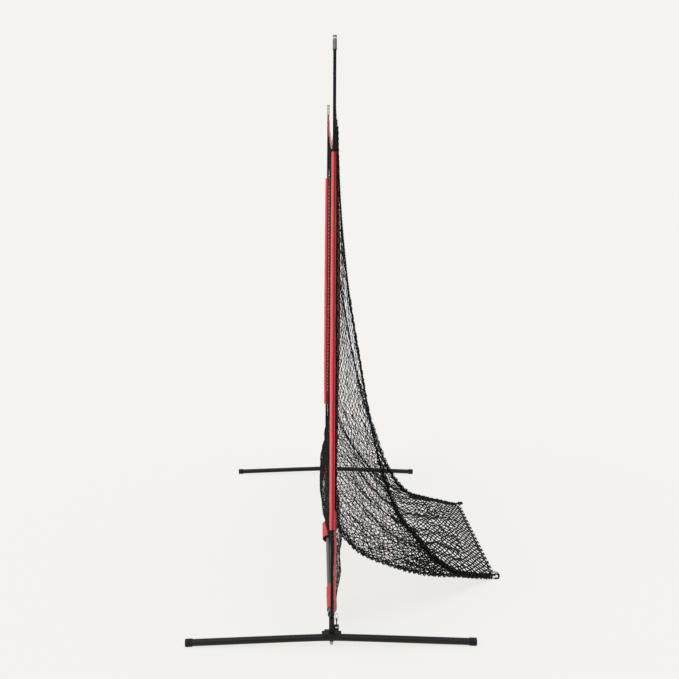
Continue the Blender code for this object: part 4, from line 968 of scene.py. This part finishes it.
def laid_rope(line, radius, pitch, start_radius=None, taper=0.6):
    """A cord of two strands laid round each other, growing from start_radius over the length taper."""
    dense = respaced(line, int(line_lengths(line)[-1] / (pitch / 8)) + 2)
    across, lift = carried_frames(dense)
    at = line_lengths(dense)
    sizes = np.interp(at, (0, taper), (start_radius or radius, radius))
    strand_r = sizes * 0.54
    shapes = []
    for k in (0, 1):
        turn = 2 * np.pi * at / pitch + np.pi * k
        path = dense + (sizes - strand_r)[:, None] * (np.cos(turn)[:, None] * across + np.sin(turn)[:, None] * lift)
        path[:, 2] = np.maximum(path[:, 2], strand_r + FLOOR_GAP)
        shapes.append(tube(path, strand_r, 6))
    return shapes


def lashings(line, near_r, far_r, radius, turns):
    """Twines bunched and laced round a rope, looser and tighter by turns: (pitch, seed) of each."""
    shapes = []
    for pitch, seed in turns:
        dense = respaced(line, int(line_lengths(line)[-1] / (pitch / 7)) + 2)
        across, lift = carried_frames(dense)
        at = line_lengths(dense)
        angle = 2 * np.pi * at / pitch + 2.2 * wander(at, seed, 0.11)
        reach = near_r + (far_r - near_r) * (0.5 + 0.5 * wander(at, seed + 1, 0.05))
        path = dense + reach[:, None] * (np.cos(angle)[:, None] * across + np.sin(angle)[:, None] * lift)
        path[:, 2] = np.maximum(path[:, 2], radius + FLOOR_GAP)
        shapes.append(tube(path, radius, 4))
    return shapes


def scalloped(line):
    """The lower edge of the netting, which hangs in small loops between the knots of its cord."""
    dense = respaced(line, 420)
    at = line_lengths(dense)
    loops = np.abs(np.sin(np.pi * at / 0.031 + 0.8 * wander(at, 58, 0.2)))
    free = limited(at / 0.05) * limited((at[-1] - at) / 0.05)
    dense[:, 2] = np.maximum(ROPE_REST, dense[:, 2] + free * (0.0030 - 0.0085 * loops))
    return dense


def corner_eye(side, size=0.82):
    """Loop of the cord at the back corner, lying on its outer side with the inner side propped up."""
    tilt = math.radians(36)
    loop_r = EYE_R * size
    turn = np.radians(EYE_OPENING * (1 - 2 * np.linspace(0, 1, 40)))
    rise = loop_r * math.sin(tilt) * (1 + np.sin(turn))
    y = side * (TRAIL_HALF_WIDTH + CORNER_SPREAD / 2) - side * loop_r * math.cos(tilt) * np.sin(turn)
    return np.column_stack([TRAIL_REACH - 0.002 + EYE_R + loop_r * np.cos(turn), y, ROPE_REST + rise])


def make_border_rope(side):
    """Rope down the border, round the eye at the back corner and back up the lower edge, with its lacing."""
    border = BORDERS[side]
    lower = scalloped(LOWERS[side])
    around = corner_eye(side, 1.28)[::-1] - (0.0045, 0, 0)
    shapes = laid_rope(np.vstack([border[border[:, 0] < ROPE_END_X], corner_eye(side)]), 0.0044, 0.022, 0.0016, 0.7)
    shapes += laid_rope(np.vstack([lower[lower[:, 0] < ROPE_END_X], around]), 0.0024, 0.016)
    heavy = border[border[:, 2] < 0.62]
    middle = border[(border[:, 2] >= 0.60) & (border[:, 2] < 1.25)]
    floor = border[border[:, 2] < 0.16]
    for line, near_r, far_r, radius, turns in (
            (heavy, 0.0050, 0.0085, 0.0014, ((0.021, 41), (0.027, 43))),
            (heavy, 0.0080, 0.0150, 0.0017, ((0.030, 45), (0.038, 47), (0.047, 71), (0.055, 73))),
            (floor, 0.0065, 0.0120, 0.0015, ((0.019, 49), (0.029, 59))),
            (middle, 0.0040, 0.0058, 0.0012, ((0.030, 51), (0.044, 53))),
            (lower, 0.0026, 0.0058, 0.0011, ((0.026, 55), (0.037, 57)))):
        shapes += lashings(line, near_r, far_r, radius, turns)
    return new_piece(f"{SIDE_NAMES[side]}_laced_border", joined(shapes), CORD, f"{SIDE_NAMES[side]}_border_rope")


def make_back_rope():
    """Thin rope in the ball return's edge on the floor, laced by the net's last meshes."""
    end = TRAIL_HALF_WIDTH - 0.009
    line = np.column_stack([np.full(60, TRAIL_REACH - ROPE_R), np.linspace(-end, end, 60), np.full(60, ROPE_REST)])
    line[:, 0] += 0.0025 * wander(line[:, 1], 61, 0.2)
    shapes = laid_rope(line, 0.0017, 0.012) + lashings(line, 0.0025, 0.0060, 0.0011, ((0.044, 63), (0.033, 65)))
    return new_piece("back_laced_rope", joined(shapes), CORD, "back_edge_rope")


# ---------------------------------------------------------------- red cloth


# Folds round the sleeve: angle of the middle in radians, depth (or height, below 0) in metres, half width
SLEEVE_FOLDS = (
    (-1.36, 0.0030, 0.24), (-2.05, -0.0013, 0.34), (-0.78, -0.0015, 0.26), (-2.75, 0.0008, 0.16),
    (1.40, 0.0026, 0.24), (2.05, -0.0012, 0.30), (0.80, -0.0012, 0.26), (2.75, 0.0008, 0.18))


def make_sleeve(side):
    """Cloth tube round the pole with the sewn flange on its back, creased lengthways and puckered at the seam."""
    rows = 150
    height = np.linspace(SLEEVE_LOW, SLEEVE_HIGH, rows)
    round_count = 44
    flange_count = 5
    opening = 0.30  # radians that the flange takes of the tube, to each side
    turn = np.linspace(opening, 2 * np.pi - opening, round_count)
    bore_r = 0.0071
    loose = {NEAR: 1.0, FAR: 1.30}[side]
    waist = loose * np.interp(height, (SLEEVE_LOW, 0.62, 1.2, 1.66, SLEEVE_HIGH),
                              (0.0084, 0.0098, 0.0098, 0.0088, 0.0080))
    wrinkle = 0.0005 * ripple(height[:, None], turn[None, :] * 0.012, 70 + side, 0.07)
    crease = 0.0004 * np.cos(3 * turn[None, :] + 0.8 * wander(height, 75 + side, 0.5)[:, None])
    drift = 0.10 * wander(height, 77 + side, 0.4)[:, None]
    deep = np.interp(height, (SLEEVE_LOW, 0.55, 1.5, 1.7, SLEEVE_HIGH), (0.3, 1.0, 1.0, 0.6, 0.3))[:, None]
    for middle, depth, width in SLEEVE_FOLDS:
        from_middle = (turn[None, :] - middle - drift + np.pi) % (2 * np.pi) - np.pi
        crease = crease - deep * depth * np.exp(-(from_middle / width) ** 2)
    radius = np.maximum(waist[:, None] + wrinkle + crease, bore_r + 0.0006)
    tube_x = radius * np.cos(turn) - {NEAR: 0.0014, FAR: 0.0038}[side]
    tube_y = np.maximum(radius * 0.88, bore_r + 0.0006) * np.sin(turn)
    puff = 0.0013

    def flange_half(out):
        """Half thickness of the flange, from the tube (0) to its edge (1)."""
        return puff * (1 - 0.35 * out) + (tube_y[:, :1] - puff) * (1 - out) ** 4

    out = np.linspace(1, 0, flange_count + 1)[:-1]
    reach = flange_reach(height) + 0.0006 * wander(height, 80 + side, 0.06)
    sway = 0.0008 * wander(height, 85 + side, 0.09)
    start_x = tube_x[:, :1]
    flange_x = start_x + (reach[:, None] - start_x) * out
    thick = flange_half(out)
    section_x = np.hstack([flange_x, tube_x, flange_x[:, ::-1]])
    section_y = np.hstack([thick + sway[:, None] * out, tube_y, -thick[:, ::-1] + sway[:, None] * out[::-1]])
    sides = section_x.shape[1]
    centre_y = side * pole_y(height)
    level = np.broadcast_to(height[:, None], section_x.shape)
    bore_start = np.linspace(0.02, opening * 0.9, flange_count)
    bore_turn = np.concatenate([bore_start, turn, 2 * np.pi - bore_start[::-1]])
    bore_x = np.broadcast_to(bore_r * np.cos(bore_turn), section_x.shape)
    skins = [np.stack([x, centre_y[:, None] + y, level], -1).reshape(-1, 3)
             for x, y in ((section_x, section_y), (bore_x, bore_r * np.sin(bore_turn)))]
    faces = ring_faces(rows, sides)
    count = rows * sides
    faces += [[corner + count for corner in face[::-1]] for face in faces]
    for base in (0, (rows - 1) * sides):
        for k in range(sides):
            beside = (k + 1) % sides
            rim = [base + k, base + beside, count + base + beside, count + base + k]
            faces.append(rim[::-1] if base == 0 else rim)
    round_it = line_lengths(np.column_stack([section_x[0], section_y[0]]))
    cloth_map = np.stack(np.broadcast_arrays(round_it[None, :], height[:, None]), -1).reshape(-1, 2)
    piece = new_piece(f"{SIDE_NAMES[side]}_sewn_sleeve", (np.vstack(skins), faces), SLEEVE_CLOTH,
                      f"{SIDE_NAMES[side]}_pole_sleeve", np.tile(cloth_map, (2, 1)))
    seam_x = 0.0135
    seam_out = (seam_x - start_x) / (reach[:, None] - start_x)
    seam_half = flange_half(seam_out)[:, 0]
    threads = []
    for face in (-1, 1):
        seam = np.column_stack([np.full(rows, seam_x), centre_y + face * seam_half + sway * seam_out[:, 0], height])
        threads += stitches(seam[3:-3], (0, face, 0), radius=0.0005)
    if side == FAR:  # its open side shows the long stitches of the edge binding
        shown = np.argmin(np.abs(turn - (2 * np.pi - 0.72)))
        binding = np.column_stack([tube_x[:, shown], centre_y + tube_y[:, shown] - 0.0008, height])
        threads += stitches(binding[8:-3], (0, -1, 0), length=0.0105, gap=0.0095, radius=0.0017)
    return piece, threads


def sewn_strip(name, line, width, seams, finish, node):
    """A folded strip of cloth that stands upright along a line, each seam stitched on both faces."""
    shape, cloth_map = swept(line, UP, hem_outline(width, HEM_THICK, seams))
    threads = []
    for seam in seams:
        for face in (-1, 1):
            threads += stitches((line + (face * HEM_THREAD, 0, seam))[2:-2], (face, 0, 0))
    return new_piece(name, shape, finish, node, cloth_map), threads


def make_top_hem():
    """Red strip along the top of the net, drawn slightly wavy by the net's weight."""
    y = np.linspace(-TOP_HEM_END, TOP_HEM_END, 220)
    middle = top_hem_z(y) - TOP_HEM_WIDTH / 2
    x = net_x(middle) + 0.0012 * wander(y, 90, 0.18) * (1 - (y / TOP_HEM_END) ** 8)
    line = np.column_stack([x, y, middle])
    return sewn_strip("top_sewn_hem", line, TOP_HEM_WIDTH, (-0.014, 0.012), RED_CLOTH, "top_hem")


def make_bottom_hem():
    """Black tape along the net's lower edge."""
    end = HUB_SPAN / 2 - SIDE_HEM_REACH - 0.0035
    y = np.linspace(-end, end, 200)
    x = CORNER_X + 0.001 * wander(y, 92, 0.15)
    line = np.column_stack([x, y, np.full(len(y), CORNER_LOW + BOTTOM_HEM_WIDTH / 2)])
    return sewn_strip("bottom_sewn_hem", line, BOTTOM_HEM_WIDTH, (-0.009, 0.009), BLACK_TAPE, "bottom_hem")


def make_side_hem(side):
    """Red edge of the net from the foot of the sleeve to the lower corner, turned half sideways."""
    height = np.linspace(CORNER_LOW, SLEEVE_LOW - 0.0005, 50)
    start = np.column_stack([np.full(50, 0.0072), side * pole_y(height), height])
    finish = np.column_stack([np.full(50, 0.0142), side * (pole_y(height) - SIDE_HEM_REACH), height])
    wave = 0.0008 * wander(height, 94 + side, 0.06)
    line = (start + finish) / 2 + np.column_stack([wave, 0 * wave, 0 * wave])
    seams = (-0.0062, 0.006)
    width = float(np.linalg.norm(finish[0] - start[0]))
    shape, cloth_map = swept(line, finish - start, hem_outline(width, HEM_THICK, seams))
    piece = new_piece(f"{SIDE_NAMES[side]}_sewn_side_hem", shape, RED_CLOTH, f"{SIDE_NAMES[side]}_side_hem", cloth_map)
    over = unit(finish - start)
    back = unit(np.cross(over, UP))
    back = back * np.where((back[:, :1] > 0), 1, -1)
    threads = []
    for seam in seams:
        for face in (1, -1):
            threads += stitches((line + over * seam + back * face * HEM_THREAD)[1:-1], back[1:-1] * face)
    return piece, threads


def make_corner_patch(side):
    """Doubled triangle of cloth that spreads the pull of the top corner."""
    up = np.linspace(0, 1, 26)[:, None]
    over = np.linspace(0, 1, 26)[None, :]
    height = TOP_HEM_CORNER - PATCH_SIZE * (1 - up) + 0 * over
    spread_out = PATCH_SIZE * (0.15 + 0.85 * up) * over
    x = net_x(height) - 0.003 - 0.0007 * ripple(height, spread_out, 96 + side, 0.05)
    y = np.minimum(TOP_HEM_END, pole_y(height) - POLE_R - 0.002) - spread_out
    grid = np.stack([x, side * y, height - 0.4 * spread_out * up], -1)
    shape, cloth_map = cloth_sheet(grid[::-1] if side == NEAR else grid, 0.0018)
    piece = new_piece(f"{SIDE_NAMES[side]}_sewn_patch", shape, RED_CLOTH, f"{SIDE_NAMES[side]}_corner_patch", cloth_map)
    threads = []
    for row in (grid[1:-1, 1], grid[1:-1, -2], grid[-2, 1:-1], grid[1, 1:-1]):
        threads += stitches(row + (-0.0009, 0, 0), (-1, 0, 0))
    return piece, threads


def make_wrap_tab(name, y_middle, ring_r, bulge, seed):
    """Strap of cloth folded round the base bar, its two tails sewn together under the net's lower edge."""
    y = np.linspace(-TAB_LENGTH / 2, TAB_LENGTH / 2, 40)
    turn = np.linspace(0.16, 2 * np.pi - 0.16, 44)
    top = CORNER_LOW - 0.001 - BAR_Z
    tail = np.linspace(1, 0, 8)[:-1]
    slack = 1 + 0.06 * wander(y, seed, 0.08)[:, None]
    x = -ring_r * np.sin(turn) * (1 + (bulge * slack) * np.maximum(0, np.sin(turn)) ** 2)
    z = np.broadcast_to(ring_r * np.cos(turn) * (1 + 0.35 * bulge * np.where(np.cos(turn) < 0, 1, 0.2)), x.shape)
    front_x = x[:, :1] + (CORNER_X - 0.0011 - x[:, :1]) * tail
    back_x = x[:, -1:] + (CORNER_X + 0.0011 - x[:, -1:]) * tail[::-1]
    front_z = z[:, :1] + (top - z[:, :1]) * tail
    back_z = z[:, -1:] + (top - z[:, -1:]) * tail[::-1]
    section_x = np.hstack([front_x, x, back_x])
    section_z = np.maximum(np.hstack([front_z, z, back_z]), 0.004 - BAR_Z)
    section_y = np.broadcast_to((y_middle + y)[:, None], section_x.shape)
    grid = np.stack([section_x, section_y, BAR_Z + section_z], -1)
    grid[..., 0] += 0.0006 * ripple(grid[..., 1], grid[..., 2], seed + 1, 0.05)
    shape, cloth_map = cloth_sheet(grid, 0.0011)
    piece = new_piece(f"{name}_sewn_tab", shape, RED_CLOTH, f"{name}_wrap_tab", cloth_map)
    height = BAR_Z + ring_r + 0.45 * (top - ring_r)
    x_there = CORNER_X * (1 - (top - (height - BAR_Z)) / max(top - ring_r, 0.001))
    threads = []
    for face in (-1, 1):
        row = np.column_stack([np.full(40, x_there + face * 0.0026), y_middle + y, np.full(40, height + 0.006)])
        threads += stitches(row[1:-1], (face, 0, 0))
    return piece, threads


def make_tip_strap(side):
    """Pale webbing looped into the groove of the tip cap, with its tail sewn down to the corner of the net."""
    tilt = math.atan2(float(pole_y(POLE_HEIGHT - 0.001) - pole_y(POLE_HEIGHT)), 0.001)
    lean = Matrix.Rotation(side * tilt, 3, "X")
    turn = np.linspace(0, 2 * np.pi, 41)
    ring_r = 0.0060
    ring = np.column_stack([ring_r * np.cos(turn), ring_r * np.sin(turn), np.full(41, TIP_GROOVE_Z)])
    loop, loop_map = swept(ring, UP, hem_outline(0.0074, STRAP_THICK))
    down = np.array([0.0, 0.12, 0.3, 0.6, 1.0])
    tail_z = TIP_GROOVE_Z - 0.001 + (-TIP_CAP_LENGTH - 0.004 - TIP_GROOVE_Z + 0.001) * down
    tail_y = -side * (0.0062 + (0.0088 - 0.0062) * np.minimum(1, down / 0.18))
    line = respaced(np.column_stack([0 * down, tail_y, tail_z]), 24)
    tail, tail_map = swept(line, (1.0, 0.0, 0.0), hem_outline(0.012, STRAP_THICK, (-0.004, 0.004)))
    points, faces = joined([loop, tail])
    points = points @ np.array(lean).T + (0, side * float(pole_y(POLE_HEIGHT)), POLE_HEIGHT)
    return new_piece(f"{SIDE_NAMES[side]}_tip_loop", (points, faces), WEBBING, f"{SIDE_NAMES[side]}_tip_strap",
                     np.vstack([loop_map, tail_map]))


def make_corner_strap(side):
    """Pale webbing loop between the hook and the lower corner of the net."""
    low = 0.0961  # inside the hook
    high = CORNER_LOW - 0.0006
    half = 0.0048
    rise = (high - low) / 2 - half
    turn = np.linspace(0, np.pi, 16)
    arc = np.column_stack([half * np.cos(turn), 0 * turn, rise + half * np.sin(turn)])
    path = respaced(np.vstack([arc, arc * (-1, 1, -1), arc[:1]]), 60)
    path += (LUG_X, side * HUB_SPAN / 2, (low + high) / 2)
    shape, cloth_map = swept(path, (0.0, 1.0, 0.0), hem_outline(0.0065, 0.0013))
    return new_piece(f"{SIDE_NAMES[side]}_corner_loop", shape, WEBBING, f"{SIDE_NAMES[side]}_corner_strap", cloth_map)


# ---------------------------------------------------------------- floor, background and light

PALE = "F4F3EF"  # of the floor and the background
LIT_RADIUS = 1.6
FADE_RADIUS = 3.2
PLAIN_SHARE = 0.84  # how much of the floor's look is plain, which softens the shadows on it


def unlit_background(tree, shown):
    """Plain light of the background's colour, for what the camera, gloss and glass see."""
    return add_node(tree, shown, feeds={"Color": colour(PALE), "Strength": 1.0}).outputs[0]


def make_floor():
    """A wide pale floor: lit and shadowed round the net, and fading into the plain background further out."""
    steps = 64
    turn = 2 * np.pi * np.arange(steps) / steps
    radii = (0.0, 1.2, 2.4, 4.0, 14.0)
    points = [(0, 0, 0)]
    for radius in radii[1:]:
        points += [(radius * math.cos(a), radius * math.sin(a), 0) for a in turn]
    faces = [(0, 1 + k, 1 + (k + 1) % steps) for k in range(steps)]
    for ring in range(len(radii) - 2):
        base = 1 + ring * steps
        faces += [(base + k, base + steps + k, base + steps + (k + 1) % steps, base + (k + 1) % steps)
                  for k in range(steps)]
    mesh = bpy.data.meshes.new("studio_floor")
    mesh.from_pydata(points, [], faces)
    material = bpy.data.materials.new("painted_studio_floor")
    tree = cleared_tree(material)
    place = add_node(tree, "NewGeometry").outputs["Position"]
    away = add_node(tree, "VectorMath", {"operation": "LENGTH"}, {0: place}).outputs["Value"]
    fade = {"Value": away, "From Min": LIT_RADIUS, "From Max": FADE_RADIUS, "To Min": PLAIN_SHARE}
    outside = add_node(tree, "MapRange", {"interpolation_type": "SMOOTHSTEP"}, fade).outputs[0]
    lit = add_node(tree, "BsdfDiffuse", feeds={"Color": colour(PALE)}).outputs[0]
    plain = unlit_background(tree, "Emission")
    surface = add_node(tree, "MixShader", feeds={0: outside, 1: lit, 2: plain})
    add_node(tree, "OutputMaterial", feeds={"Surface": surface.outputs[0]})
    mesh.materials.append(material)
    placed("studio_floor", mesh)


SKY_LEVEL = 0.64  # share of the plain level that comes from all round
LAMPS = (  # name, the way to the lamp, its share of the plain level on the floor, and its width in degrees
    ("top_lamp", (-0.15, -0.20, 1.0), 0.24, 50),
    ("side_lamp", (-0.75, -0.55, 0.62), 0.12, 35),
)


def make_light():
    """Soft light from all round and two wide lamps; the camera sees the plain background in its place."""
    world = bpy.data.worlds.new("studio")
    bpy.context.scene.world = world
    tree = cleared_tree(world)
    path = add_node(tree, "LightPath").outputs
    seen = combined(tree, "MAXIMUM", path["Is Camera Ray"], path["Is Glossy Ray"])
    seen = combined(tree, "MAXIMUM", seen, path["Is Transmission Ray"])
    soft = add_node(tree, "Background", feeds={"Color": (1, 1, 1, 1), "Strength": SKY_LEVEL}).outputs[0]
    plain = unlit_background(tree, "Background")
    mixed = add_node(tree, "MixShader", feeds={0: seen, 1: soft, 2: plain})
    add_node(tree, "OutputWorld", feeds={"Surface": mixed.outputs[0]})
    for name, way, share, width in LAMPS:
        way = Vector(way).normalized()
        data = bpy.data.lights.new(name, "SUN")
        data.energy = share * math.pi / way.z
        data.angle = math.radians(width)
        placed(name, data).rotation_euler = way.to_track_quat("Z", "Y").to_euler()


# ---------------------------------------------------------------- assembly


# Each tab's place along the bar, radius of its ring, how far it bulges, and seed
TAB_OUT = HUB_SPAN / 2 - TAB_FROM_HUB
TABS = (("near", -TAB_OUT, 0.0137, 0.10, 101), ("middle", MIDDLE_TAB, 0.0175, 0.55, 103),
        ("far", TAB_OUT, 0.0137, 0.10, 105))


def main():
    make_camera()
    finish_cad_nodes()
    pieces = [make_frame_net(), make_ball_return(), make_back_rope()]
    sewn = []
    for side, name in SIDE_NAMES.items():
        pieces += [make_wing(side), make_border_rope(side), make_tip_strap(side), make_corner_strap(side)]
        sewn += [(name, maker(side)) for maker in (make_sleeve, make_side_hem, make_corner_patch)]
    sewn += [("hem", make_top_hem()), ("hem", make_bottom_hem())]
    sewn += [("tab", make_wrap_tab(*tab)) for tab in TABS]
    pieces += [piece for _, (piece, _) in sewn]
    for name in ("near", "far", "hem", "tab"):
        rows = [row for place, (_, threads) in sewn if place == name for row in threads]
        new_piece(f"{name}_stitching", joined(rows), THREAD)
    make_floor()
    make_light()
    bpy.context.scene.view_settings.view_transform = "Standard"


main()
